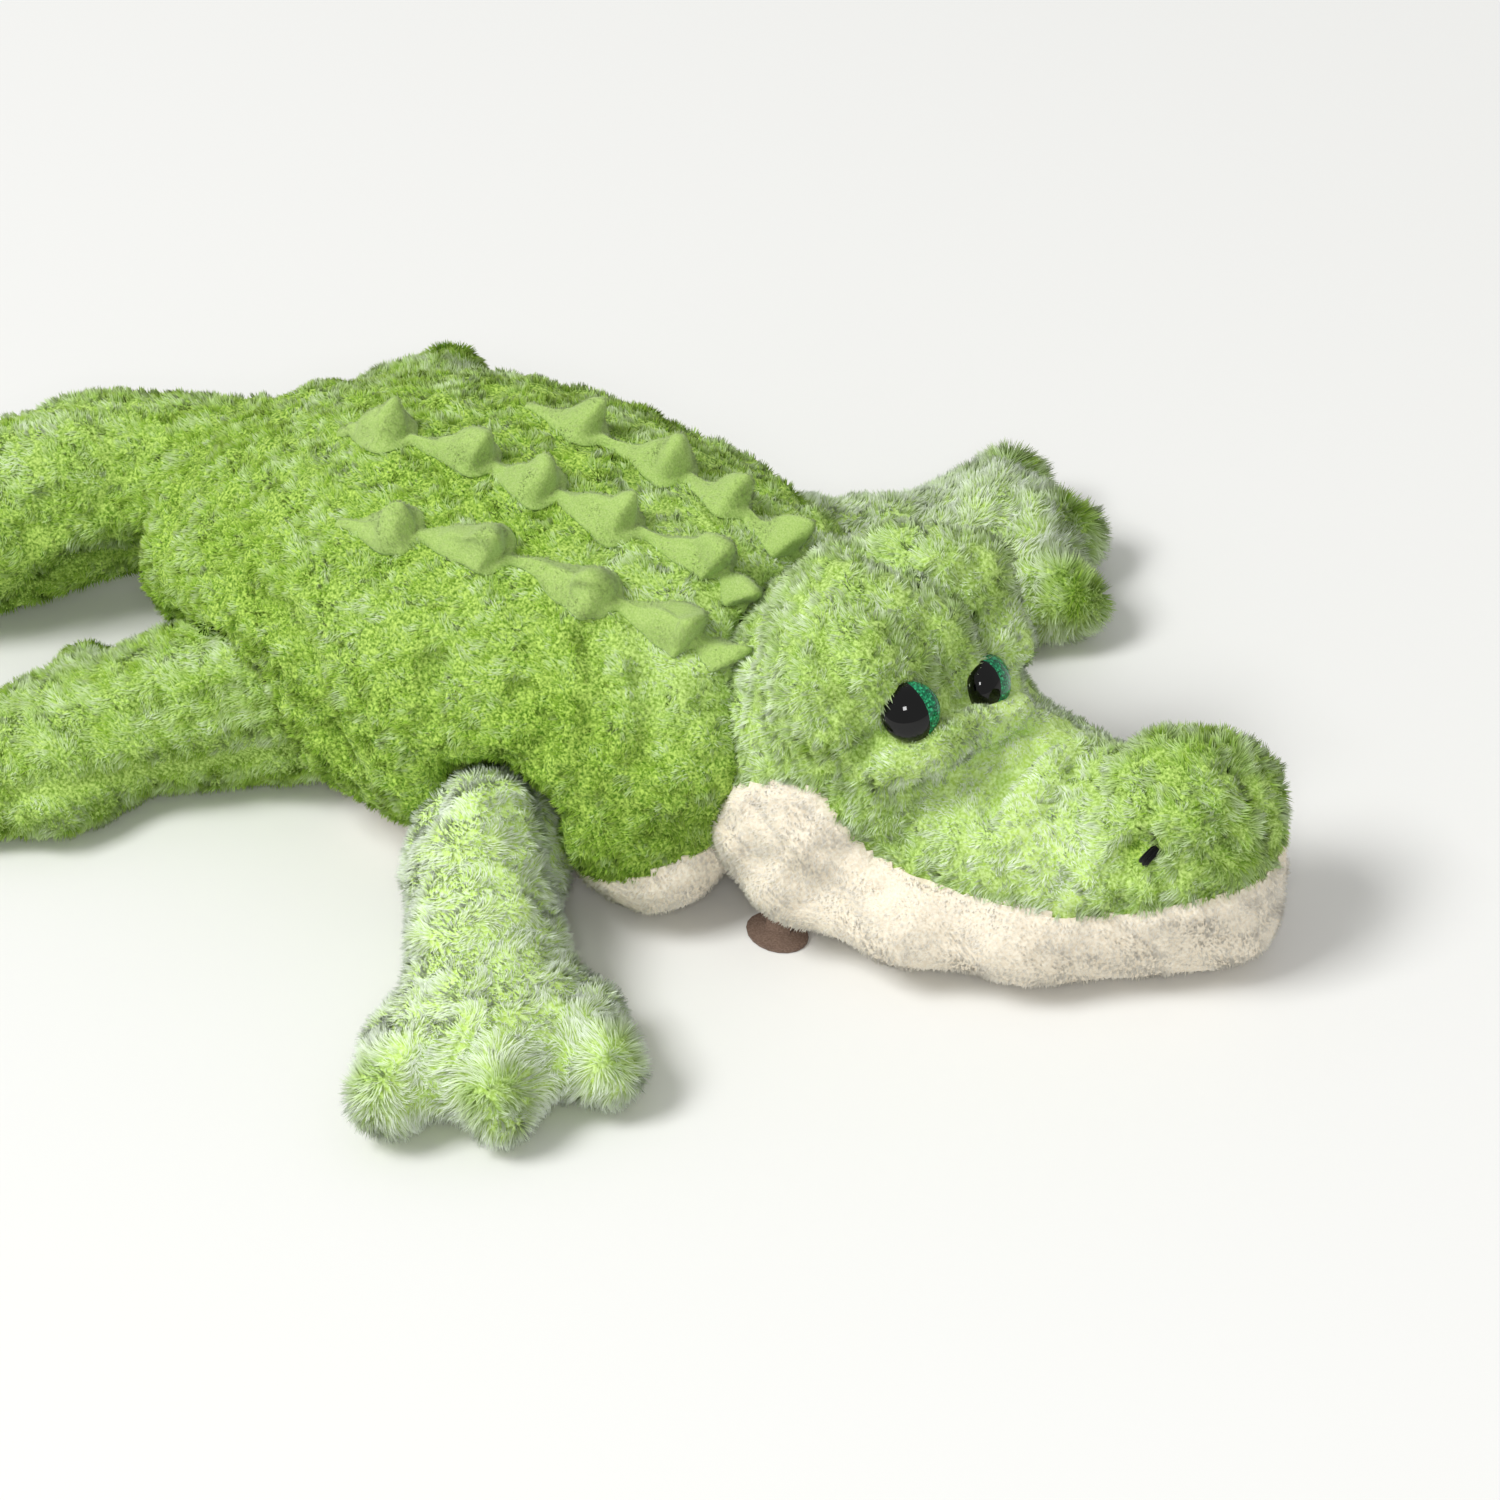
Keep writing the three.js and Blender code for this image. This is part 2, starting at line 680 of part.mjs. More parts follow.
// Legs: each a cover that is open at its root, round its filling
const rootCut = -legOpeningShare * legRootRadius;
for (const leg of legs) {
  const cover = cut(stand(legForm(leg)), legInside(skin, leg)).intersect(beyond(rootCut));
  add(`${leg.name}_leg_cover`, placeLeg(largest(cover), leg), greenPlush());
  add(`${leg.name}_leg_filling`, placeLeg(legInside(skin + fillingGap, leg), leg), fibre());
}

// Tail
const tailRootPlane = beyond(tailX + legOpeningShare * tailRootRadius);
add("tail_cover", largest(cut(stand(tailForm(0)), tailForm(skin), tailRootPlane)), greenPlush());
add("tail_filling", tailForm(skin + fillingGap), fibre());

// Scute strips lie on the back along a constant section angle
const backSkin = body.solid(-gap);
for (const strip of scuteStrips) {
  const angle = radians(scuteRoll + strip.row * rowSpread);
  const uAt = (place) => Math.acos(1 - 2 * place) / Math.PI;
  const peaks = strip.placeShares.map((place, index) => {
    const u = uAt(place);
    const size = strip.sizeShares[index];
    const high = peakHeight * size;
    const flank = peakShares.map(([radius, rise]) => [radius, rise * high]);
    const geometry = lathe([[0, -peakDepth], [1, -peakDepth], ...flank, [0, high]], peakSides);
    geometry.scale(peakHalfLength * size, peakHalfWidth * size, 1);
    return placeAlong(geometry, body.point(u, angle), body.normal(u, angle));
  });
  const from = strip.placeShares[0];
  const to = strip.placeShares.at(-1);
  const ridgePath = stepsTo(ridgeSteps).map((share) => {
    const u = uAt(THREE.MathUtils.lerp(from, to, share));
    return body.point(u, angle, -ridgeRise);
  });
  const outline = new THREE.Shape();
  outline.absellipse(0, 0, ridgeHalfHeight, ridgeHalfWidth, 0, 2 * Math.PI);
  const ridge = new THREE.ExtrudeGeometry(outline, {
    curveSegments: ridgeFacets,
    steps: 2 * ridgeSteps,
    extrudePath: new THREE.CatmullRomCurve3(ridgePath),
  });
  const whole = join(solidOf(ridge), ...peaks);
  add(`scute_strip_${strip.name}`, largest(cut(whole, backSkin, ...neckRooms)), shortPlush());
}

// Tag
const tagShape = new THREE.Shape();
tagShape.absellipse(0, 0, tagHalfLength, tagHalfWidth, 0, 2 * Math.PI);
const tagBoard = { depth: tagThick, bevelEnabled: false, curveSegments: tagFacets };
const tagOval = new THREE.ExtrudeGeometry(tagShape, tagBoard);
tagOval.rotateZ(radians(tagTurn));
const tab = new THREE.BoxGeometry(tabLength, 2 * tabHalfWidth, tagThick);
tab.translate(tabLength / 2, 0, tagThick / 2);
tab.rotateY(radians(-tabLift));
tab.rotateZ(radians(tabTurn));
const tag = join(solidOf(tagOval), solidOf(tab)).translate([neckX - tagSetBack, neckY - tagRight, gap]);
add("jaw_tag", largest(tag.subtract(headForm(-gap))), brownSuede());

export default scene;
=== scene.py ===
import math

import bmesh
import bpy
import numpy as np
from bpy.props import FloatProperty, FloatVectorProperty, PointerProperty
from mathutils import Euler, Matrix, Vector
from mathutils.bvhtree import BVHTree


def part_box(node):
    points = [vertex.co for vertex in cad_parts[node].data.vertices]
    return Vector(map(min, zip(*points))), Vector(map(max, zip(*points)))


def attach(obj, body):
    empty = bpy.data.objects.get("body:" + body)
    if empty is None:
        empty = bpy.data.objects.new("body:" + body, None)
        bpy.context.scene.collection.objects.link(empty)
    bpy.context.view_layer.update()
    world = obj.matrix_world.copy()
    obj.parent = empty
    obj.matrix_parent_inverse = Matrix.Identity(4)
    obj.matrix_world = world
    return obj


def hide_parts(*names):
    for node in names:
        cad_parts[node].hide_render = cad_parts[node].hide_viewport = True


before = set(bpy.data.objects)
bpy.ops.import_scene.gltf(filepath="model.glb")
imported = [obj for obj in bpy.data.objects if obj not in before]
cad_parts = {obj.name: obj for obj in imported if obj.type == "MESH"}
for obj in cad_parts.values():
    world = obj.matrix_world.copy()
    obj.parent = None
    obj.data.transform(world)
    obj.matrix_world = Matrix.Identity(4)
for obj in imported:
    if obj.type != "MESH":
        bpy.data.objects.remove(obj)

bl_info = {
    "name": "Plush crocodile",
    "version": (1, 0, 0),
    "blender": (4, 5, 0),
    "location": "3D View > Sidebar > Plush",
    "description": "Dresses the crocodile's frame in stuffed skins, pile, scutes, eyes and seams",
    "category": "Add Mesh",
}

MM = 0.001

# The camera stands where the photograph was taken from
PICTURE = 1500
CAMERA_PLACE = (1.27967, -1.33146, 1.44390)
CAMERA_TURN = (51.188, 7.118, 35.81)
CAMERA_LENS = 151.2
CAMERA_SENSOR = 36.0

# What each stuffed part is sewn from
PARTS = {
    "torso": ["body_back_cover", "belly_panel", "body_filling"],
    "head": ["head_crown_cover", "muzzle_cover", "jaw_panel", "head_filling"],
    "tail": ["tail_cover", "tail_filling"],
    "front_right_leg": ["front_right_leg_cover", "front_right_leg_filling"],
    "front_left_leg": ["front_left_leg_cover", "front_left_leg_filling"],
    "hind_right_leg": ["hind_right_leg_cover", "hind_right_leg_filling"],
    "hind_left_leg": ["hind_left_leg_cover", "hind_left_leg_filling"],
}
LEGS = ["front_right_leg", "front_left_leg", "hind_right_leg", "hind_left_leg"]
# Cream panels are sewn into the skin of these parts
CREAM_PANELS = {"torso": "belly_panel", "head": "jaw_panel"}

skins = {}
trees = {}
fields = {}
# Fold lines of each part, where the pile sinks and is painted darker, painted shade
folds = {}
finishes = {}

# The lowest that a skin and a strand's tip lie over the floor
SKIN_FLOOR = 1.2 * MM
TIP_FLOOR = 0.4 * MM
# The cloth simulation that fills a skin: its pressure, care and frames, and how far a point may move
FILL_PRESSURE = 4.0
FILL_QUALITY = 4
FILL_FRAMES = 20
FILL_CAP = 3 * MM
# Skins closer than this at a joint have no room for pile between them
JOINT_REACH = 12 * MM
# The seam round a cream panel, and the panel's cloth
SEAM_DEPTH = 1.8 * MM
SEAM_HALF_WIDTH = 3.0 * MM
PANEL_WALL = 0.8 * MM
# A piece of pile holds at most this many triangles
LARGEST_PIECE = 190000
# How much each cause shifts a strand's shade, from 0, deep green, to 1, frosted
SHADE_BASE = 0.2
# Painted light: pile that faces upwards is painted paler
PAINTED_TOP_LIGHT = 0.1
SHADE_BROAD = 0.06
SHADE_FLECK = 0.12
SHADE_TUFT = 0.24
SHADE_STRAND = 0.12
SHADE_LENGTH = 0.3
# Painted shade: pile in a parting or a fold is painted darker
PARTING_PAINTED_SHADE = 0.75
# Strands below this share of the pile's map lie deep in a parting and take its deep colours, painted shade
SUNK_SHADE = 0.25

HEAD_MIDDLE = Vector((157, 4, 78)) * MM
HEAD_TURN = math.radians(5.8)
NOSE_MIDDLE = Vector((284, 17, 62)) * MM
# The top of a nostril's threads over the skin; their ends go into it
NOSTRIL_RISE = 2.2 * MM
EYE_RADIUS = 10.5 * MM
EYE_DOME = 7 * MM
SHANK_RADIUS = 2.4 * MM
SHANK_END = -16 * MM
EYE_BACK = -2 * MM

# Legs: where each root turns, the way it points, its paw's turn and where its three toes end
LEG_ROOTS = {
    "front_right_leg": (53, -96, -51, 1),
    "front_left_leg": (54, 84, 52, -2),
    "hind_right_leg": (-70, -56, -147, -26),
    "hind_left_leg": (-74, 60, 146, 26),
}
TOE_TIPS = ((102, -41), (115, 0), (102, 41))
TOE_HEIGHT = 25
# The wide flat filling between the toes: its middle, half sizes and height, in the leg's own frame
PAW_FILLING = ((79, 0, 18), (35, 53, 23))

# The mouth seam in the photograph's pixels, from the neck to the far side of the nose
MOUTH_SEAM = [
    (724, 786), (770, 783), (818, 790), (838, 820), (873, 858), (930, 884), (1001, 903),
    (1065, 919), (1135, 916), (1212, 900), (1250, 890), (1282, 865), (1298, 838),
]

# Folds and tight threads by pixel: depth and half width in millimetres, then the line
CREASES = {
    "head": [
        (2.5, 3.5, [(972, 756), (1007, 737), (1078, 724)]),
        (4.0, 4.5, [(1130, 850), (1146, 843)]),
        (2.5, 3.5, [(1128, 868), (1122, 905)]),
        (2.0, 5.0, [(752, 812), (750, 835), (762, 858)]),
        (3.0, 6.0, [(822, 640), (836, 690), (870, 735)]),
    ],
    "crown": [
        (3.0, 5.0, [(1250, 782), (1272, 820), (1279, 858)]),
        (10.0, 8.0, [(850, 538), (914, 557), (972, 589), (991, 621)]),
    ],
    "torso": [
        (6.0, 7.0, [(251, 596), (296, 634), (312, 687), (334, 748)]),
        (5.0, 6.0, [(433, 664), (426, 725)]),
        (3.0, 6.0, [(228, 414), (182, 474), (163, 543)]),
        (4.0, 6.0, [(640, 640), (655, 700), (640, 760)]),
        (4.0, 5.0, [(520, 690), (545, 730), (535, 770)]),
        (3.5, 5.0, [(585, 640), (600, 690), (590, 740)]),
    ],
    "tail": [(4.0, 6.0, [(20, 600), (91, 558), (160, 550)])],
    "hind_right_leg": [(2.5, 5.0, [(20, 795), (180, 768), (330, 745)])],
}

# Rolls of the muzzle that start at a fold, by pixel: rise and reach in millimetres, then the fold
ROLLS = [
    (8.5, 16, [(868, 756), (896, 742), (921, 730), (956, 712), (1020, 694), (1062, 694)]),
    (6.5, 16, [(1000, 812), (1018, 780), (1046, 758), (1084, 739), (1118, 738)]),
]

# Patches of the pile by pixel: place, reach in millimetres, paler or deeper, and its length against the rest
PATCHES = {
    "head": [
        (820, 545, 26, 0.4, 0.9),
        # Painted shade: the front of the brow above the eyes is drawn a little deeper
        (870, 640, 24, -0.05, 1.0),
        (745, 720, 30, 0.22, 0.85),
        (1010, 735, 22, 0.4, 0.5),
        (940, 770, 18, 0.35, 0.6),
        (960, 840, 22, 0.2, 0.9),
        (1040, 830, 18, 0.5, 0.8),
        (1065, 880, 14, 0.7, 1.0),
        (1170, 775, 19, -0.12, 1.2),
        (1215, 850, 16, -0.1, 1.2),
        (1285, 800, 14, 0.25, 1.0),
        (1137, 849, 5, -0.5, 0.35),
        (930, 570, 20, 0.25, 1.1),
    ],
    "torso": [
        (690, 650, 28, 0.5, 1.0),
        (620, 560, 22, 0.15, 1.0),
        (470, 640, 30, 0.1, 1.0),
        (300, 470, 30, 0.05, 1.0),
        (560, 780, 26, -0.1, 1.0),
        (330, 620, 24, 0.1, 1.0),
    ],
    "tail": [(60, 420, 40, 0.2, 1.0)],
}
# Where the filling pushes the skin out or lets it in, by pixel: place, reach and push in millimetres
SWELLS = {
    "head": [
        (735, 835, 20, 8.0),
        (900, 950, 20, 4.0),
        (1010, 965, 20, 4.5),
        (905, 752, 9, 6.0),
        (935, 741, 9, 6.0),
        (880, 703, 9, 4.0),
        (892, 682, 9, 3.5),
        (985, 712, 8, 5.0),
        (1005, 706, 8, 4.5),
        (975, 645, 10, 3.0),
        (1130, 770, 16, 2.0),
        (760, 700, 26, 3.0),
        (800, 560, 24, 2.0),
        (870, 565, 14, 4.0),
        (925, 592, 14, 4.5),
        (915, 744, 7, 5.0),
        (940, 734, 7, 4.0),
        (958, 632, 13, 4.0),
        (775, 890, 13, 9.0),
    ],
    "torso": [
        (425, 790, 14, 11.0),
        (548, 815, 14, 8.0),
        (590, 850, 16, 10.0),
        (655, 890, 18, 8.0),
        (700, 780, 20, 4.0),
        (690, 700, 22, 3.0),
    ],
    "front_right_leg": [
        (412, 806, 17, -13.0),
        (560, 812, 14, -9.0),
        (573, 860, 12, -7.0),
        (395, 960, 14, 4.0),
        (470, 900, 24, 2.0),
    ],
}
# How the partings run: closer together along the body than down its sides
PARTING_STRETCH = (1.4, 0.9, 0.65)
PART_LENGTHS = {"torso": 0.78, "tail": 0.85, "hind_right_leg": 0.85, "hind_left_leg": 0.85}
PART_TONES = {
    "torso": -0.14,
    "tail": -0.12,
    "head": 0.22,
    "front_right_leg": 1.0,
    "front_left_leg": 0.5,
    "hind_right_leg": 0.05,
    "hind_left_leg": 0.05,
}


# Helpers that many pieces share


def camera_ray(px, py):
    """Where the photograph's pixel looks from and to, in the row frame."""
    turn = Euler([math.radians(a) for a in CAMERA_TURN]).to_matrix()
    reach = CAMERA_SENSOR / 2 / CAMERA_LENS
    half = PICTURE / 2
    aim = turn @ Vector(((px - half) / half * reach, (half - py) / half * reach, -1))
    return Vector(CAMERA_PLACE), aim.normalized()


def head_mirror(points):
    """The same places on the other side of the head."""
    across = np.array([-math.sin(HEAD_TURN), math.cos(HEAD_TURN), 0])
    far = (points - np.array(HEAD_MIDDLE)) @ across
    return points - 2 * far[:, None] * across


def twinned(points, mirror, across):
    """Places on the near side and their twins on the far side, past those already there."""
    side = across(points)
    edge = max(side.max(), 4 * MM)
    return np.vstack([points, mirror(points[side < -edge])])


def head_across(points):
    """How far each point lies to the left of the head's middle plane."""
    across = np.array([-math.sin(HEAD_TURN), math.cos(HEAD_TURN), 0])
    return (points - np.array(HEAD_MIDDLE)) @ across


def both_sides(part, points):
    """The same places on both sides of the head or the body, or as they are on a limb."""
    if part == "head":
        return twinned(points, head_mirror, head_across)
    if part == "torso":
        return twinned(points, lambda p: p * (1, -1, 1), lambda p: p[:, 1])
    return points


def round_head(points):
    """The angle of each point round the head's upright middle line, 0 at the nose."""
    away = points - np.array(HEAD_MIDDLE)
    angle = np.arctan2(away[:, 1], away[:, 0]) - HEAD_TURN
    return (angle + math.pi) % (2 * math.pi) - math.pi


def toe_places(leg):
    """Where a leg's toes end, in the frame."""
    x, y, heading, turn = LEG_ROOTS[leg]
    root = Vector((x, y, TOE_HEIGHT))
    ankle = Vector((88, 0, 0))
    found = []
    for tip in TOE_TIPS:
        out = Vector((tip[0], tip[1], 0)) - ankle
        out.rotate(Euler((0, 0, math.radians(turn))))
        place = ankle + out
        place.rotate(Euler((0, 0, math.radians(heading))))
        found.append(np.array(root + place) * MM)
    return found


def wave_field(seed, wavelength, count=7):
    """A smooth random value at every point, from a few waves."""
    rng = np.random.default_rng(seed)
    aims = rng.normal(size=(count, 3))
    aims /= np.linalg.norm(aims, axis=1)[:, None]
    rates = aims * (2 * math.pi / wavelength) * rng.uniform(0.6, 1.5, (count, 1))
    starts = rng.uniform(0, 2 * math.pi, count)

    def value(points):
        return np.sin(points @ rates.T + starts).sum(1) * math.sqrt(2 / count)

    return value


def wave_vectors(seed, wavelength):
    """A smooth random direction at every point."""
    fields = [wave_field(seed + k, wavelength) for k in range(3)]
    return lambda points: np.stack([f(points) for f in fields], 1)


def unit(v):
    return v / np.maximum(np.linalg.norm(v, axis=-1, keepdims=True), 1e-9)


def mesh_points(mesh):
    co = np.empty(len(mesh.vertices) * 3)
    mesh.vertices.foreach_get("co", co)
    return co.reshape(-1, 3)


def set_points(mesh, points):
    mesh.vertices.foreach_set("co", points.ravel())
    mesh.update()


def mesh_normals(mesh):
    n = np.empty(len(mesh.vertices) * 3)
    mesh.vertex_normals.foreach_get("vector", n)
    return n.reshape(-1, 3)


def mesh_edges(mesh):
    e = np.empty(len(mesh.edges) * 2, np.int64)
    mesh.edges.foreach_get("vertices", e)
    return e.reshape(-1, 2)


def eased(values, edges, rounds, share=0.5):
    """Values at the vertices, evened out along the edges."""
    values = np.array(values, float)
    flat = values.reshape(len(values), -1)
    a, b = edges[:, 0], edges[:, 1]
    degree = np.bincount(a, minlength=len(flat)) + np.bincount(b, minlength=len(flat))
    degree = np.maximum(degree, 1)[:, None]
    for _ in range(rounds):
        total = np.stack(
            [
                np.bincount(a, flat[b, k], len(flat)) + np.bincount(b, flat[a, k], len(flat))
                for k in range(flat.shape[1])
            ],
            1,
        )
        flat = flat + share * (total / degree - flat)
    return flat.reshape(values.shape)


def add_object(name, mesh):
    obj = bpy.data.objects.new(name, mesh)
    bpy.context.scene.collection.objects.link(obj)
    return obj


def finished(obj, body, material, nodes=()):
    """The last steps of every piece: its finish, what it stands for and the body it rides on."""
    obj.data.materials.clear()
    obj.data.materials.append(material)
    if nodes:
        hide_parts(*nodes)
    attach(obj, body)
    return obj


def node_copy(names):
    """A bmesh of CAD nodes with their loose triangles merged."""
    bm = bmesh.new()
    for n in names:
        bm.from_mesh(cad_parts[n].data)
    bmesh.ops.remove_doubles(bm, verts=bm.verts, dist=0.01 * MM)
    return bm


def tree_of_nodes(names):
    bm = node_copy(names)
    tree = BVHTree.FromBMesh(bm)
    bm.free()
    return tree


def tree_of(obj):
    bm = bmesh.new()
    bm.from_mesh(obj.data)
    tree = BVHTree.FromBMesh(bm)
    bm.free()
    return tree


def apply_modifiers(obj):
    depsgraph = bpy.context.evaluated_depsgraph_get()
    mesh = bpy.data.meshes.new_from_object(obj.evaluated_get(depsgraph))
    old = obj.data
    obj.modifiers.clear()
    obj.data = mesh
    bpy.data.meshes.remove(old)
    mesh.name = obj.name


def keep_largest(obj):
    """Drops the loose islands that a remesh leaves inside."""
    bm = bmesh.new()
    bm.from_mesh(obj.data)
    left = set(bm.verts)
    islands = []
    while left:
        stack = [left.pop()]
        island = list(stack)
        while stack:
            for e in stack.pop().link_edges:
                for v in e.verts:
                    if v in left:
                        left.discard(v)
                        stack.append(v)
                        island.append(v)
        islands.append(island)
    islands.sort(key=len)
    extra = [v for island in islands[:-1] for v in island]
    bmesh.ops.delete(bm, geom=extra, context="VERTS")
    bmesh.ops.recalc_face_normals(bm, faces=bm.faces)
    bm.to_mesh(obj.data)
    bm.free()


# Materials


def new_material(name, roughness=0.8, sheen=0.0, coat=0.0, specular=0.5):
    mat = bpy.data.materials.new(name)
    mat.use_nodes = True
    shader = mat.node_tree.nodes["Principled BSDF"]
    shader.inputs["Roughness"].default_value = roughness
    shader.inputs["Sheen Weight"].default_value = sheen
    shader.inputs["Coat Weight"].default_value = coat
    shader.inputs["Specular IOR Level"].default_value = specular
    return mat, mat.node_tree, shader


def linear(colour):
    """A colour given as a screen shows it, in Blender's own values."""
    return [c / 12.92 if c <= 0.04045 else ((c + 0.055) / 1.055) ** 2.4 for c in colour] + [1.0]


def ramp(tree, stops, factor):
    node = tree.nodes.new("ShaderNodeValToRGB")
    band = node.color_ramp
    band.elements[0].position = stops[0][0]
    band.elements[0].color = linear(stops[0][1])
    band.elements[1].position = stops[-1][0]
    band.elements[1].color = linear(stops[-1][1])
    for place, colour in stops[1:-1]:
        band.elements.new(place).color = linear(colour)
    tree.links.new(factor, node.inputs["Fac"])
    return node.outputs["Color"]


def share_between(tree, value, low, high):
    """0 below one value, 1 above another."""
    node = tree.nodes.new("ShaderNodeMapRange")
    node.inputs["From Min"].default_value = low
    node.inputs["From Max"].default_value = high
    tree.links.new(value, node.inputs["Value"])
    return node.outputs["Result"]


def blended(tree, share, first, second):
    """One colour into another."""
    mix = tree.nodes.new("ShaderNodeMix")
    mix.data_type = "RGBA"
    tree.links.new(share, mix.inputs["Factor"])
    tree.links.new(first, mix.inputs[6])
    tree.links.new(second, mix.inputs[7])
    return mix.outputs[2]


def pile_material(name, parting_shade_stops, dark_stops, pale_stops, sheen=0.0):
    """Pile whose colour runs from root to tip along the strand and varies from strand to strand. The pale
    tips are the pile's frosting and the darker roots are painted shade deep in the pile; the first ramp is
    the painted shade of strands sunk in a parting.
    """
    mat, tree, shader = new_material(name, roughness=0.8, sheen=sheen, specular=0.15)
    uv = tree.nodes.new("ShaderNodeUVMap")
    uv.uv_map = "OFBake"
    parts = tree.nodes.new("ShaderNodeSeparateXYZ")
    tree.links.new(uv.outputs["UV"], parts.inputs["Vector"])
    deep = ramp(tree, parting_shade_stops, parts.outputs["Y"])
    dark = ramp(tree, dark_stops, parts.outputs["Y"])
    pale = ramp(tree, pale_stops, parts.outputs["Y"])
    # Strands sunk in a parting take the deep ramp: painted shade
    sunk = blended(tree, share_between(tree, parts.outputs["X"], 0, SUNK_SHADE), deep, dark)
    raised = share_between(tree, parts.outputs["X"], SUNK_SHADE, 1)
    tree.links.new(blended(tree, raised, sunk, pale), shader.inputs["Base Color"])
    return mat


def cloth_material(name, low, high, frost=None, scale=900.0, bump=0.3, sheen=0.08):
    """Knitted backing: a fine mottled weave in two close colours, paler where the skin's frost is high."""
    mat, tree, shader = new_material(name, roughness=0.9, sheen=sheen, specular=0.2)
    place = tree.nodes.new("ShaderNodeTexCoord")
    grain = tree.nodes.new("ShaderNodeTexNoise")
    grain.inputs["Scale"].default_value = scale
    grain.inputs["Detail"].default_value = 3.0
    tree.links.new(place.outputs["Object"], grain.inputs["Vector"])
    colour = ramp(tree, [(0.35, low), (0.65, high)], grain.outputs["Fac"])
    if frost is not None:
        paler = ramp(tree, [(0.35, high), (0.65, frost)], grain.outputs["Fac"])
        share = tree.nodes.new("ShaderNodeAttribute")
        share.attribute_name = "frost"
        colour = blended(tree, share.outputs["Fac"], colour, paler)
    tree.links.new(colour, shader.inputs["Base Color"])
    relief = tree.nodes.new("ShaderNodeBump")
    relief.inputs["Strength"].default_value = bump
    relief.inputs["Distance"].default_value = 0.4 * MM
    tree.links.new(grain.outputs["Fac"], relief.inputs["Height"])
    tree.links.new(relief.outputs["Normal"], shader.inputs["Normal"])
    return mat


def make_materials(look):
    deep = list(look.green_root)
    mid = list(look.green_middle)
    tip = list(look.green_tip)
    frost = list(look.green_frost)
    snow = list(look.green_snow)
    finishes["green_pile"] = pile_material(
        "green_pile",
        [(0.0, (0.24, 0.37, 0.08)), (1.0, (0.40, 0.56, 0.15))],
        [(0.0, deep), (0.45, mid), (1.0, tip)],
        [(0.0, tip), (0.35, frost), (0.85, snow)],
    )
    finishes["cream_pile"] = pile_material(
        "cream_pile",
        [(0.0, (0.80, 0.75, 0.66)), (1.0, (0.90, 0.86, 0.79))],
        [(0.0, (0.88, 0.83, 0.74)), (0.5, (0.93, 0.90, 0.83)), (1.0, (0.96, 0.94, 0.89))],
        [(0.0, (0.93, 0.89, 0.81)), (0.5, (0.97, 0.95, 0.90)), (1.0, (1.0, 0.99, 0.96))],
    )
    finishes["scute_pile"] = pile_material(
        "scute_pile",
        [(0.0, (0.45, 0.57, 0.25)), (1.0, (0.58, 0.70, 0.36))],
        [(0.0, (0.55, 0.67, 0.32)), (0.5, (0.64, 0.75, 0.41)), (1.0, (0.71, 0.81, 0.50))],
        [(0.0, (0.65, 0.76, 0.44)), (0.5, (0.75, 0.84, 0.56)), (1.0, (0.86, 0.92, 0.72))],
        0.15,
    )
    finishes["green_backing"] = cloth_material("green_backing", deep, tip, frost)
    finishes["cream_backing"] = cloth_material("cream_backing", (0.88, 0.83, 0.74), (0.94, 0.91, 0.84))
    finishes["scute_plush"] = cloth_material(
        "scute_plush", (0.58, 0.70, 0.36), (0.68, 0.78, 0.46), None, 1400.0, 0.5, 0.2
    )
    finishes["black_thread"] = cloth_material(
        "stitch_black", (0.01, 0.01, 0.01), (0.05, 0.05, 0.05), None, 2500.0
    )
    finishes["brown_suede"] = cloth_material(
        "suede_brown", (0.40, 0.33, 0.29), (0.50, 0.42, 0.37), None, 1500.0
    )
    finishes["washer_nylon"] = cloth_material(
        "nylon_natural", (0.80, 0.80, 0.78), (0.86, 0.86, 0.84), None, 300.0, 0.05
    )
    finishes["eye_gloss"] = eye_material()


# Stuffed skins


def paw_filling(leg):
    """The place of a leg's flat filling, as a unit ball is turned and stretched to it."""
    x, y, heading, turn = LEG_ROOTS[leg]
    middle, halves = PAW_FILLING
    root = Matrix.Translation(Vector((x, y, 0)) * MM) @ Matrix.Rotation(math.radians(heading), 4, "Z")
    there = Matrix.Translation(Vector(middle) * MM) @ Matrix.Rotation(math.radians(turn), 4, "Z")
    return root @ there @ Matrix.Diagonal([h * MM for h in halves] + [1])


def remeshed(name, nodes, grain, filling=None):
    bm = node_copy(nodes)
    if filling:
        bmesh.ops.create_uvsphere(bm, u_segments=32, v_segments=16, radius=1, matrix=filling)
    tree = BVHTree.FromBMesh(bm)
    mesh = bpy.data.meshes.new(name)
    bm.to_mesh(mesh)
    bm.free()
    obj = add_object(name, mesh)
    cut = obj.modifiers.new("Even mesh", "REMESH")
    cut.mode = "VOXEL"
    cut.voxel_size = grain
    apply_modifiers(obj)
    keep_largest(obj)
    return obj, tree


def close_to(points, normals, tree, reach):
    """1 where another part lies just outside a skin point, else 0."""
    found = np.zeros(len(points))
    for k, (p, n) in enumerate(zip(points + normals * (0.5 * MM), normals)):
        found[k] = tree.ray_cast(Vector(p), Vector(n), reach)[0] is not None
    return found


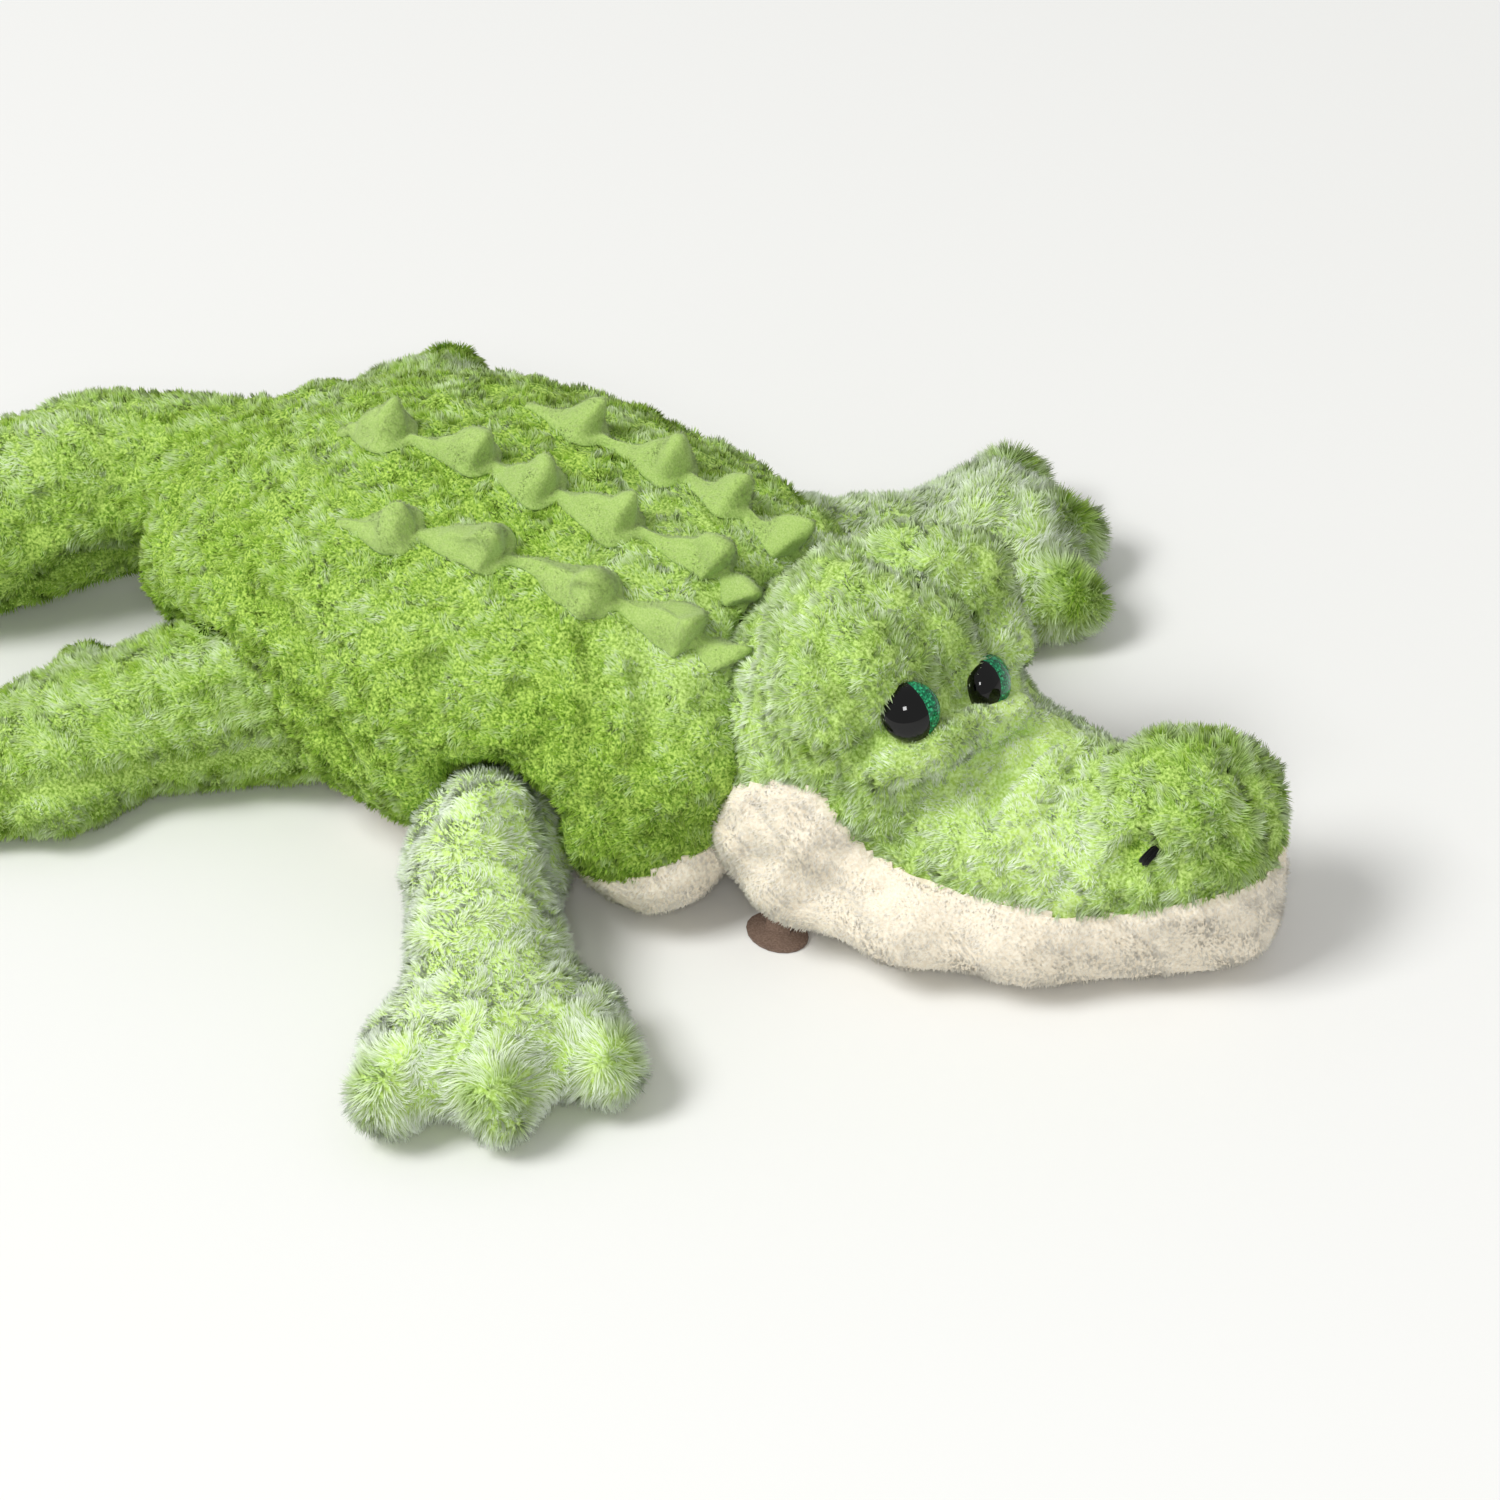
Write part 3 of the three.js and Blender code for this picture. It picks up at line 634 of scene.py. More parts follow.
def fitted_skin(obj, nodes, tree, pile, rounds=14):
    """Evens out the facets and lets the skin in by the pile's height, so that tips reach the CAD surface.

    At a joint the skins stay close, with no room for pile between them.
    """
    mesh = obj.data
    edges = mesh_edges(mesh)
    points = eased(mesh_points(mesh), edges, rounds)
    set_points(mesh, points)
    normals = mesh_normals(mesh)
    gaps = np.zeros(len(points))
    for k, (p, n) in enumerate(zip(points, normals)):
        near = tree.find_nearest(Vector(p))[0]
        if near is not None:
            gaps[k] = (np.array(near) - p) @ n
    gaps = eased(np.clip(gaps, -6 * MM, 9 * MM), edges, 10)
    near = tree_of_nodes([n for other in PARTS.values() if other is not nodes for n in other])
    joined = eased(close_to(points + normals * gaps[:, None], normals, near, JOINT_REACH), edges, 2)
    points = points + normals * (gaps - pile * (1 - joined))[:, None]
    points[:, 2] = np.maximum(points[:, 2], TIP_FLOOR)
    set_points(mesh, points)


def hollows_filled(obj, rounds):
    """Stuffing rounds out the hollows between the toes and at the ankle."""
    mesh = obj.data
    edges = mesh_edges(mesh)
    for _ in range(rounds):
        points = mesh_points(mesh)
        normals = mesh_normals(mesh)
        rise = ((eased(points, edges, 12) - points) * normals).sum(1)
        set_points(mesh, points + normals * np.clip(rise, 0, None)[:, None])


def swollen(obj, part):
    """Pushes the skin out, or lets it in, round a few places."""
    tree = tree_of(obj)
    points = mesh_points(obj.data)
    normals = mesh_normals(obj.data)
    rise = np.zeros(len(points))
    for px, py, reach, push in SWELLS[part]:
        hit = tree.ray_cast(*camera_ray(px, py))[0]
        if hit is None:
            continue
        for place in both_sides(part, np.array(hit)[None]):
            rise += push * MM * np.exp(-((np.linalg.norm(points - place, axis=1) / (reach * MM)) ** 2))
    points = points + normals * rise[:, None]
    points[:, 2] = np.maximum(points[:, 2], TIP_FLOOR)
    set_points(obj.data, points)


def inflated(obj):
    """Fills the skin by a cloth simulation, no point moving more than the cap."""
    before = mesh_points(obj.data)
    cloth = obj.modifiers.new("Filling", "CLOTH")
    cloth.settings.use_pressure = True
    cloth.settings.uniform_pressure_force = FILL_PRESSURE
    cloth.settings.effector_weights.gravity = 0
    cloth.settings.quality = FILL_QUALITY
    scene = bpy.context.scene
    for f in range(1, FILL_FRAMES + 1):
        scene.frame_set(f)
    apply_modifiers(obj)
    scene.frame_set(1)
    moved = mesh_points(obj.data) - before
    far = np.linalg.norm(moved, axis=1)
    share = np.minimum(1, FILL_CAP / np.maximum(far, 1e-9))
    set_points(obj.data, before + moved * share[:, None])


def subdivided(obj):
    finer = obj.modifiers.new("Finer", "SUBSURF")
    finer.levels = 1
    finer.render_levels = 1
    apply_modifiers(obj)


def line_on(tree, pixels, step=8.0):
    """The points of a skin under a line of the photograph's pixels."""
    found = []
    for (ax, ay), (bx, by) in zip(pixels, pixels[1:]):
        count = max(2, int(math.hypot(bx - ax, by - ay) / step))
        for k in range(count + 1):
            t = k / count
            hit = tree.ray_cast(*camera_ray(ax + (bx - ax) * t, ay + (by - ay) * t))[0]
            if hit is not None:
                found.append(hit)
    return np.array(found)


def gap_to(points, line, chunk=16):
    """How far each point lies from the nearest point of a line."""
    near = np.full(len(points), 1.0)
    for start in range(0, len(line), chunk):
        d = np.linalg.norm(points[:, None] - line[None, start : start + chunk], axis=2)
        near = np.minimum(near, d.min(1))
    return near


def creased(obj, part, creases, twin=True):
    """Draws the skin in along each line, as a tight thread does, and swells it a little beside."""
    tree = tree_of(obj)
    points = mesh_points(obj.data)
    normals = mesh_normals(obj.data)
    pull = np.zeros(len(points))
    for depth, half_width, pixels in creases:
        line = line_on(tree, pixels)
        if not len(line):
            continue
        if twin:
            line = both_sides(part, line)
        half_width *= MM
        # The crease also parts the pile, which is painted darker along it, painted shade
        folds.setdefault(part, []).append((line, 0.6 * half_width))
        near = gap_to(points, line)
        drawn = np.exp(-((near / half_width) ** 2))
        beside = np.exp(-(((near - 2.2 * half_width) / half_width) ** 2))
        pull = np.maximum(pull, depth * MM * drawn) - 0.2 * depth * MM * beside * (pull < MM)
    set_points(obj.data, points - normals * pull[:, None])


def rolled(obj):
    """The muzzle's rolls: the skin steps up at each fold and falls away towards the nose."""
    tree = tree_of(obj)
    points = mesh_points(obj.data)
    normals = mesh_normals(obj.data)
    forwards = np.array([math.cos(HEAD_TURN), math.sin(HEAD_TURN), -0.25])
    lift = np.zeros(len(points))
    for rise, reach, pixels in ROLLS:
        line = line_on(tree, pixels)
        line = both_sides("head", line)
        gap = np.linalg.norm(points[:, None] - line[None], axis=2)
        nearest = gap.argmin(1)
        ahead = ((points - line[nearest]) @ forwards) / (3 * MM)
        lift += rise * MM * np.clip(ahead + 0.3, 0, 1) * np.exp(-((gap.min(1) / (reach * MM)) ** 2))
        lift -= 3.5 * MM * np.exp(-(((ahead + 0.8) / 0.9) ** 2)) * (gap.min(1) < 6 * MM)
        # The fold also parts the pile, which is painted darker along it, painted shade
        folds.setdefault("head", []).append((line - forwards * 2 * MM, 3.5 * MM))
    lift *= np.clip(1 - (head_across(points) - 4 * MM) / (22 * MM), 0, 1)
    lift = eased(lift, mesh_edges(obj.data), 2)
    set_points(obj.data, points + normals * lift[:, None])


def rippled(obj, seed):
    """The small hollows where a short pile parts over soft filling."""
    points = mesh_points(obj.data)
    normals = mesh_normals(obj.data)
    broad = wave_field(seed, 26 * MM)(points)
    fine = wave_field(seed + 1, 11 * MM)(points)
    share = np.clip((points[:, 2] - 15 * MM) / (40 * MM), 0.25, 1)
    set_points(obj.data, points + normals * ((0.6 * broad + 0.5 * fine) * share * MM)[:, None])


def seam_field(points, tree):
    """Height over the mouth seam at each point of the head; the far side mirrors the near one."""
    line = line_on(tree, MOUTH_SEAM)
    angle = round_head(line)
    order = np.argsort(angle)
    angle, height = angle[order], line[order, 2]
    twin = -angle[::-1]
    beyond = twin > angle[-1]
    angle = np.concatenate([angle, twin[beyond]])
    height = np.concatenate([height, height[::-1][: len(twin)][beyond]])
    return points[:, 2] - np.interp(round_head(points), angle, height)


def panel_field(obj, panel, others):
    """Below zero where the skin lies nearer to a panel's CAD node than to others, with an even edge."""
    if panel == "jaw_panel":
        field = seam_field(mesh_points(obj.data), tree_of(obj))
        return eased(np.clip(field, -12 * MM, 12 * MM), mesh_edges(obj.data), 3)
    inside = tree_of_nodes([panel])
    outside = tree_of_nodes(others)
    points = mesh_points(obj.data)
    field = np.zeros(len(points))
    for k, p in enumerate(points):
        place = Vector(p)
        field[k] = inside.find_nearest(place)[3] - outside.find_nearest(place)[3]
    field = np.clip(field, -4 * MM, 4 * MM)
    return eased(field, mesh_edges(obj.data), 12)


def make_skin(part, settings):
    nodes = PARTS[part]
    grain = settings.skin_grain
    filling = paw_filling(part) if part in LEG_ROOTS else None
    obj, form = remeshed(f"{part}_skin", nodes, grain, filling)
    fitted_skin(obj, nodes, form, settings.skin_inset)
    if part in LEG_ROOTS:
        hollows_filled(obj, 2)
    if part in SWELLS:
        swollen(obj, part)
    inflated(obj)
    subdivided(obj)
    rippled(obj, len(part))
    if part in CREASES:
        creased(obj, part, CREASES[part])
    if part == "head":
        creased(obj, part, CREASES["crown"], False)
        rolled(obj)
    points = mesh_points(obj.data)
    points[:, 2] = np.maximum(points[:, 2], SKIN_FLOOR)
    set_points(obj.data, points)
    return obj


def draw_seam(obj, field, depth, half_width):
    """Pulls the skin in along the seam between two panels."""
    drawn = np.exp(-((field / half_width) ** 2))
    points = mesh_points(obj.data)
    set_points(obj.data, points - mesh_normals(obj.data) * (depth * drawn)[:, None])


def panel_from(skin, name, faces, thick):
    """A panel of cloth sewn over some faces of a skin, with a wall of its own."""
    bm = bmesh.new()
    bm.from_mesh(skin.data)
    bm.faces.ensure_lookup_table()
    wanted = set(int(k) for k in faces)
    drop = [f for f in bm.faces if f.index not in wanted]
    bmesh.ops.delete(bm, geom=drop, context="FACES")
    mesh = bpy.data.meshes.new(name)
    bm.to_mesh(mesh)
    bm.free()
    obj = add_object(name, mesh)
    wall = obj.modifiers.new("Wall", "SOLIDIFY")
    wall.thickness = thick
    wall.offset = 1.0
    apply_modifiers(obj)
    return obj


# Pile

STRAND_TRIANGLES = 4


def strand_template():
    """One tapering three-sided strand along +Z, a unit long."""
    bm = bmesh.new()
    bmesh.ops.create_cone(bm, cap_ends=True, segments=3, radius1=1, radius2=0, depth=1)
    bmesh.ops.remove_doubles(bm, verts=bm.verts, dist=MM)
    bmesh.ops.translate(bm, verts=bm.verts, vec=(0, 0, 0.5))
    bmesh.ops.triangulate(bm, faces=bm.faces)
    bmesh.ops.recalc_face_normals(bm, faces=bm.faces)
    bm.verts.index_update()
    points = np.array([v.co for v in bm.verts])
    faces = np.array([[v.index for v in f.verts] for f in bm.faces])
    bm.free()
    return points, faces


def skin_samples(obj, weights, density, rng, field):
    """Random roots on a skin: points, normals and the seam field under each."""
    mesh = obj.data
    mesh.calc_loop_triangles()
    count = len(mesh.loop_triangles)
    tris = np.empty(count * 3, np.int64)
    mesh.loop_triangles.foreach_get("vertices", tris)
    tris = tris.reshape(-1, 3)
    points = mesh_points(mesh)
    normals = mesh_normals(mesh)
    a, b, c = (points[tris[:, k]] for k in range(3))
    area = np.linalg.norm(np.cross(b - a, c - a), axis=1) / 2
    share = area * weights[tris].mean(1)
    total = int(share.sum() * density)
    pick = np.searchsorted(np.cumsum(share) / share.sum(), rng.random(total))
    pick = np.minimum(pick, count - 1)
    u, v = rng.random((2, total))
    flip = u + v > 1
    u[flip], v[flip] = 1 - u[flip], 1 - v[flip]
    w = np.stack([1 - u - v, u, v], 1)[:, :, None]
    over = (field[tris[pick]] * w[:, :, 0]).sum(1)
    return (points[tris[pick]] * w).sum(1), unit((normals[tris[pick]] * w).sum(1)), over


def hidden_weights(obj, others, reach):
    """0 at skin points inside another part, where a way out meets a face from behind, 1 elsewhere."""
    points = mesh_points(obj.data)
    normals = mesh_normals(obj.data)
    open_share = np.ones(len(points))
    for tree in others:
        for k, (p, n) in enumerate(zip(points + normals * reach, normals)):
            if open_share[k]:
                way = Vector(n)
                hit, out, _, _ = tree.ray_cast(Vector(p), way, 0.2)
                if hit is not None and way.dot(out) > 0:
                    open_share[k] = 0
    return open_share


def strands(name, roots, normals, ways, lengths, widths, shade, tuft):
    """One mesh of strands: copies of the template, each from its root along its own way."""
    template, faces = strand_template()
    count = len(roots)
    tip = roots + ways * lengths[:, None]
    tip[:, 2] = np.maximum(tip[:, 2], TIP_FLOOR)
    start = roots - normals * (0.6 * MM)
    side = unit(np.cross(ways, unit(np.roll(ways, 1, axis=1) + 0.01)))
    other = np.cross(ways, side)
    t = template[:, 2]
    spine = start[:, None] * (1 - t)[None, :, None] + tip[:, None] * t[None, :, None]
    around = side[:, None] * template[None, :, 0:1] + other[:, None] * template[None, :, 1:2]
    points = spine + around * (widths / 2)[:, None, None]
    k = len(template)
    corners = (faces[None] + (np.arange(count) * k)[:, None, None]).reshape(-1, 3)
    mesh = bpy.data.meshes.new(name)
    mesh.vertices.add(count * k)
    mesh.vertices.foreach_set("co", points.ravel())
    mesh.loops.add(corners.size)
    mesh.loops.foreach_set("vertex_index", corners.ravel())
    mesh.polygons.add(len(corners))
    mesh.polygons.foreach_set("loop_start", np.arange(len(corners)) * 3)
    mesh.update(calc_edges=True)
    across = (np.arctan2(template[:, 1], template[:, 0]) / (2 * math.pi)) % 1
    u = np.clip(SUNK_SHADE + np.where(shade > 0, (1 - SUNK_SHADE) * shade, 0.5 * shade), 0.01, 0.97)
    u = u[:, None] + 0.012 * across[None]
    v = np.broadcast_to(0.02 + 0.96 * t[None], u.shape)
    layer = mesh.uv_layers.new(name="OFBake")
    both = np.stack([u, v], 2).reshape(-1, 2)[corners.ravel()]
    layer.uv.foreach_set("vector", both.ravel())
    soft = unit(normals[:, None] * 0.8 + around * 0.22 + tuft[:, None] * 0.4)
    mesh.polygons.foreach_set("use_smooth", np.ones(len(corners), bool))
    mesh.normals_split_custom_set_from_vertices(soft.reshape(-1, 3).astype(np.float32))
    return add_object(name, mesh)


def comb(part, points, normals):
    """Which way the pile was brushed, before it is laid flat to the skin."""
    way = np.zeros_like(points)
    whorls = []
    if part == "torso":
        way[:, 0] = -1.0
        way[:, 2] = -0.25
        collar = np.clip((points[:, 0] - 128 * MM) / (14 * MM), 0, 1)
        way[:, 0] += 2 * collar
    elif part == "head":
        way[:, 0] = -0.8
        way[:, 2] = -0.3
        whorls = [(np.array(NOSE_MIDDLE), 38 * MM)]
    elif part == "tail":
        way[:, 0] = -1.0
        way[:, 1] = -0.3
    else:
        x, y, heading, _ = LEG_ROOTS[part]
        way[:, 0] = math.cos(math.radians(heading))
        way[:, 1] = math.sin(math.radians(heading))
        whorls = [(place, 24 * MM) for place in toe_places(part)]
    for middle, reach in whorls:
        near = np.exp(-((np.linalg.norm(points - middle, axis=1) / reach) ** 4))[:, None]
        way = way * (1 - near) + unit(points - middle) * near
    return way


def patches_of(part):
    """Where a part's pile is paler, deeper, longer or shorter: place, reach, tone and length."""
    found = []
    tree = trees[part]
    for px, py, reach, tone, long in PATCHES.get(part, []):
        hit = tree.ray_cast(*camera_ray(px, py))[0]
        if hit is None:
            continue
        for place in both_sides(part, np.array(hit)[None]):
            found.append((place, reach * MM, tone, long))
    if part in LEG_ROOTS:
        for place in toe_places(part):
            long = 1.35 if "front" in part else 1.1
            found.append((place, 13 * MM, -0.85, long))
            found.append((place, 27 * MM, 0.12, long))
    return found


def pile_look(part, points):
    """The tone and the length of the pile at each point."""
    tone = np.full(len(points), PART_TONES[part])
    long = np.ones(len(points))
    for place, reach, shift, factor in patches_of(part):
        near = np.exp(-((np.linalg.norm(points - place, axis=1) / reach) ** 2))
        tone += shift * near
        long *= 1 + (factor - 1) * near
    return tone, long


def pile_on(
    part, obj, kind, weights, settings, seed, length, density, lean=1.0, width=1.0, field=None, side=0
):
    """The pile of one skin, in pieces that stay small enough."""
    rng = np.random.default_rng(seed)
    green = kind == "green"
    if field is None:
        field = np.zeros(len(weights))
    swirl = wave_vectors(seed + 10, settings.swirl_size)
    tone = wave_field(seed + 20, settings.tone_size)
    fleck = wave_field(seed + 30, settings.tone_size * 0.25)
    roots, normals, over = skin_samples(obj, weights, density * 1e6, rng, field)
    keep = (roots[:, 2] > 1.2 * MM) & (over * side >= 0)
    roots, normals = roots[keep], normals[keep]
    count = len(roots)
    brushed = comb(part, roots, normals)
    brushed = unit(brushed - normals * (brushed * normals).sum(1)[:, None])
    turned = swirl(roots)
    turned = turned - normals * (turned * normals).sum(1)[:, None]
    loose = rng.normal(size=(count, 3))
    parting = wave_field(seed + 40, settings.parting_size, 11)(roots * PARTING_STRETCH)
    # How strongly the pile parts: a parting sinks and shortens the pile and paints it darker, painted shade
    parting_strength = np.clip(0.6 + 0.5 * wave_field(seed + 41, 26 * MM)(roots), 0, 1)
    parting_strength *= 0.0 if not green else 0.2 if part in LEG_ROOTS else 1.0
    valley = np.exp(-((parting / 0.42) ** 2)) * parting_strength
    # Fold lines part the pile as well and carry the same painted shade
    for line, half_width in folds.get(part, []) if green else []:
        valley = np.maximum(valley, 1.2 * np.exp(-((gap_to(roots, line) / half_width) ** 2)))
    roots = roots - normals * (valley * settings.parting_depth * green)[:, None]
    ways = unit(normals + (brushed * settings.lean + turned * settings.swirl) * lean + loose * 0.22)
    if green:
        region, long = pile_look(part, roots)
        long *= PART_LENGTHS.get(part, 1) * (1 - 0.35 * valley)
    else:
        region, long = np.zeros(count), np.ones(count)
    lengths = length * long * rng.uniform(0.7, 1.1, count)
    cells = np.floor((roots + 1.0 * MM * turned) / settings.clump_size).astype(np.int64)
    key = (cells[:, 0] * 73856093) ^ (cells[:, 1] * 19349663) ^ (cells[:, 2] * 83492791)
    _, group = np.unique(key, return_inverse=True)
    size = np.maximum(np.bincount(group), 1)
    tuft_way = rng.normal(size=(len(size), 3)) * 0.3
    tips = roots + ways * lengths[:, None]
    mean = np.stack([np.bincount(group, tips[:, k]) / size for k in range(3)], 1)
    gather = unit(mean[group] + tuft_way[group] * length * 0.5 - roots)
    ways = unit(ways * (1 - settings.clump) + gather * settings.clump)
    clump_tone = rng.random(len(size))[group]
    uneven = 1.0 if green else 0.3
    # Painted light: pile that faces upwards is painted paler
    shade = SHADE_BASE + region + PAINTED_TOP_LIGHT * (normals[:, 2] - 0.3)
    patchy = SHADE_BROAD * tone(roots) + SHADE_FLECK * fleck(roots)
    shade += uneven * (patchy + SHADE_TUFT * (clump_tone - 0.5))
    stood = lengths / (length * long) - 0.9
    shade += uneven * (SHADE_STRAND * (rng.random(count) - 0.5) + SHADE_LENGTH * stood)
    # Painted shade: pile in a parting or a fold is painted darker
    shade -= uneven * PARTING_PAINTED_SHADE * valley
    caught = 0.08 if not green else 0.35 if part in LEG_ROOTS else 0.55
    tufts = wave_vectors(seed + 50, settings.tuft_light)(roots) * caught
    widths = settings.strand_width * width * rng.uniform(0.75, 1.25, count)
    pieces = max(1, math.ceil(count * STRAND_TRIANGLES / LARGEST_PIECE))
    order = np.argsort(roots[:, 0])
    made = []
    for k, chunk in enumerate(np.array_split(order, pieces)):
        name = f"{part}_{kind}_pile_{k + 1}"
        made.append(
            strands(
                name,
                roots[chunk],
                normals[chunk],
                ways[chunk],
                lengths[chunk],
                widths[chunk],
                shade[chunk],
                tufts[chunk],
            )
        )
    return made


# The user's settings


def length_setting(name, about, size):
    """A size in millimetres that a user may change."""
    return FloatProperty(name=name, description=about, default=size * MM, unit="LENGTH")


def number_setting(name, about, value, kind="NONE"):
    """A number without a unit that a user may change."""
    return FloatProperty(name=name, description=about, default=value, subtype=kind)


def colour_setting(name, about, value):
    """A colour that a user may change."""
    return FloatVectorProperty(name=name, description=about, default=value, subtype="COLOR")


class PileSettings(bpy.types.PropertyGroup):
    """The cloth, its filling and its pile."""

    skin_grain: length_setting("Skin grain", "Size of the skin's faces before they are halved", 5.6)
    skin_inset: length_setting("Skin inset", "How far the skin lies inside the pile's outline", 2.4)
    pile_length: length_setting("Green pile length", "Length of the green strands", 3.8)
    cream_length: length_setting("Cream pile length", "Length of the cream strands", 2.6)
    strand_width: length_setting("Strand width", "Width of a strand at its root", 0.78)
    pile_density: number_setting("Pile density", "Strands for each square millimetre", 1.2)
    under_share: number_setting("Underside share", "Share of the pile on the floor side", 0.25, "FACTOR")
    lean: number_setting("Lean", "How far the pile is brushed over", 0.45)
    swirl: number_setting("Swirl", "How far the pile wanders from its way", 0.5)
    swirl_size: length_setting("Swirl size", "Size of the pile's swirls", 16)
    tone_size: length_setting("Tone size", "Size of the paler and darker patches", 45)
    parting_size: length_setting("Parting size", "Distance between the partings of the pile", 13)
    parting_depth: length_setting("Parting depth", "How far the pile sinks at a parting", 2.2)
    tuft_light: length_setting("Tuft light", "Size of the tufts that catch the light together", 5)
    clump: number_setting("Clumping", "How far the tips of a tuft lean together", 0.4, "FACTOR")
    clump_size: length_setting("Tuft size", "Width of a tuft", 2.4)


class ScuteSettings(bpy.types.PropertyGroup):
    """The sewn scutes along the back."""

    scute_tail: length_setting("Scute tail", "From a scute's rear point to its peak", 26)
    scute_front: length_setting("Scute front", "From a scute's peak to its front edge", 9)
    scute_width: length_setting("Scute half width", "Half the width of a scute at its widest", 11)
    scute_link: length_setting("Link half width", "Half the width of the strip between scutes", 2.5)
    scute_ridge: length_setting("Link height", "Height of the ridge between scutes", 2.5)
    scute_edge: length_setting("Edge height", "Height of the strip's sewn edge over the skin", 1.2)
    scute_push: length_setting("Peak push", "How far a peak leans towards the head", 6)
    scute_wall: length_setting("Wall", "Thickness of the strip", 1.6)


class LookSettings(bpy.types.PropertyGroup):
    """Colours of the cloth."""

    green_root: colour_setting("Green at the root", "Colour deep in the green pile", (0.31, 0.47, 0.10))
    green_middle: colour_setting("Green half way", "Colour half way along the strands", (0.54, 0.70, 0.22))
    green_tip: colour_setting("Green at the tip", "Colour of the green strands' tips", (0.71, 0.83, 0.38))
    green_frost: colour_setting("Frosted tip", "Colour of the frosted tips", (0.83, 0.92, 0.67))
    green_snow: colour_setting("Palest tip", "Colour of the most frosted tips", (0.95, 0.99, 0.93))


# One operator for each piece or group of like pieces


class StageOperator(bpy.types.Operator):
    """Sets up the camera, the floor and the light"""

    bl_idname = "plush.stage"
    bl_label = "Camera, floor and light"

    def execute(self, context):
        scene = context.scene
        lens = bpy.data.cameras.new("camera")
        lens.lens = CAMERA_LENS
        lens.sensor_width = CAMERA_SENSOR
        lens.clip_end = 50
        camera = bpy.data.objects.new("camera", lens)
        camera.location = CAMERA_PLACE
        camera.rotation_euler = [math.radians(a) for a in CAMERA_TURN]
        scene.collection.objects.link(camera)
        scene.camera = camera
        bm = bmesh.new()
        bmesh.ops.create_grid(bm, x_segments=1, y_segments=1, size=6)
        mesh = bpy.data.meshes.new("floor")
        bm.to_mesh(mesh)
        bm.free()
        floor = add_object("floor", mesh)
        mat, tree, shader = new_material("floor", roughness=0.9)
        shader.inputs["Base Color"].default_value = linear((0.90, 0.90, 0.89))
        mesh.materials.append(mat)
        world = bpy.data.worlds.new("studio")
        world.use_nodes = True
        world.node_tree.nodes["Background"].inputs["Color"].default_value = (1, 1, 1, 1)
        world.node_tree.nodes["Background"].inputs["Strength"].default_value = 0.5
        scene.world = world
        scene.view_settings.view_transform = "Standard"
        for name, place, size, power in (
            ("lamp_key", (-1.3, -2.4, 4.4), 2.2, 205.0),
            ("lamp_spark", (1.5, -1.6, 1.75), 0.45, 13.0),
        ):
            light = bpy.data.lights.new(name, "AREA")
            light.size = size
            light.energy = power
            lamp = bpy.data.objects.new(name, light)
            lamp.location = place
            lamp.visible_glossy = name == "lamp_spark"
            lamp.rotation_euler = (-Vector(place)).to_track_quat("-Z", "Y").to_euler()
            scene.collection.objects.link(lamp)
        return {"FINISHED"}


class SkinOperator(bpy.types.Operator):
    """Makes the stuffed skins and the cream panels sewn into them"""

    bl_idname = "plush.skins"
    bl_label = "Stuffed skins"

    def execute(self, context):
        settings = context.scene.plush_pile
        make_materials(context.scene.plush_look)
        for part, nodes in PARTS.items():
            obj = make_skin(part, settings)
            panel = CREAM_PANELS.get(part)
            own = [n for n in nodes if n != panel]
            skins[part] = obj
            if panel:
                covers = [n for n in own if not n.endswith("filling")]
                fields[part] = panel_field(obj, panel, covers)
                draw_seam(obj, fields[part], SEAM_DEPTH, SEAM_HALF_WIDTH)
            trees[part] = tree_of(obj)
            finished(obj, part, finishes["green_backing"], own)
            frost = obj.data.attributes.new("frost", "FLOAT", "POINT")
            frost.data.foreach_set("value", np.clip(0.15 + pile_look(part, mesh_points(obj.data))[0], 0, 1))
            if panel:
                field = fields[part]
                faces = [f.index for f in obj.data.polygons if field[list(f.vertices)].mean() < 0]
                cloth = panel_from(obj, f"{panel}_cloth", faces, PANEL_WALL)
                skins[panel] = cloth
                finished(cloth, part, finishes["cream_backing"], [panel])
        return {"FINISHED"}


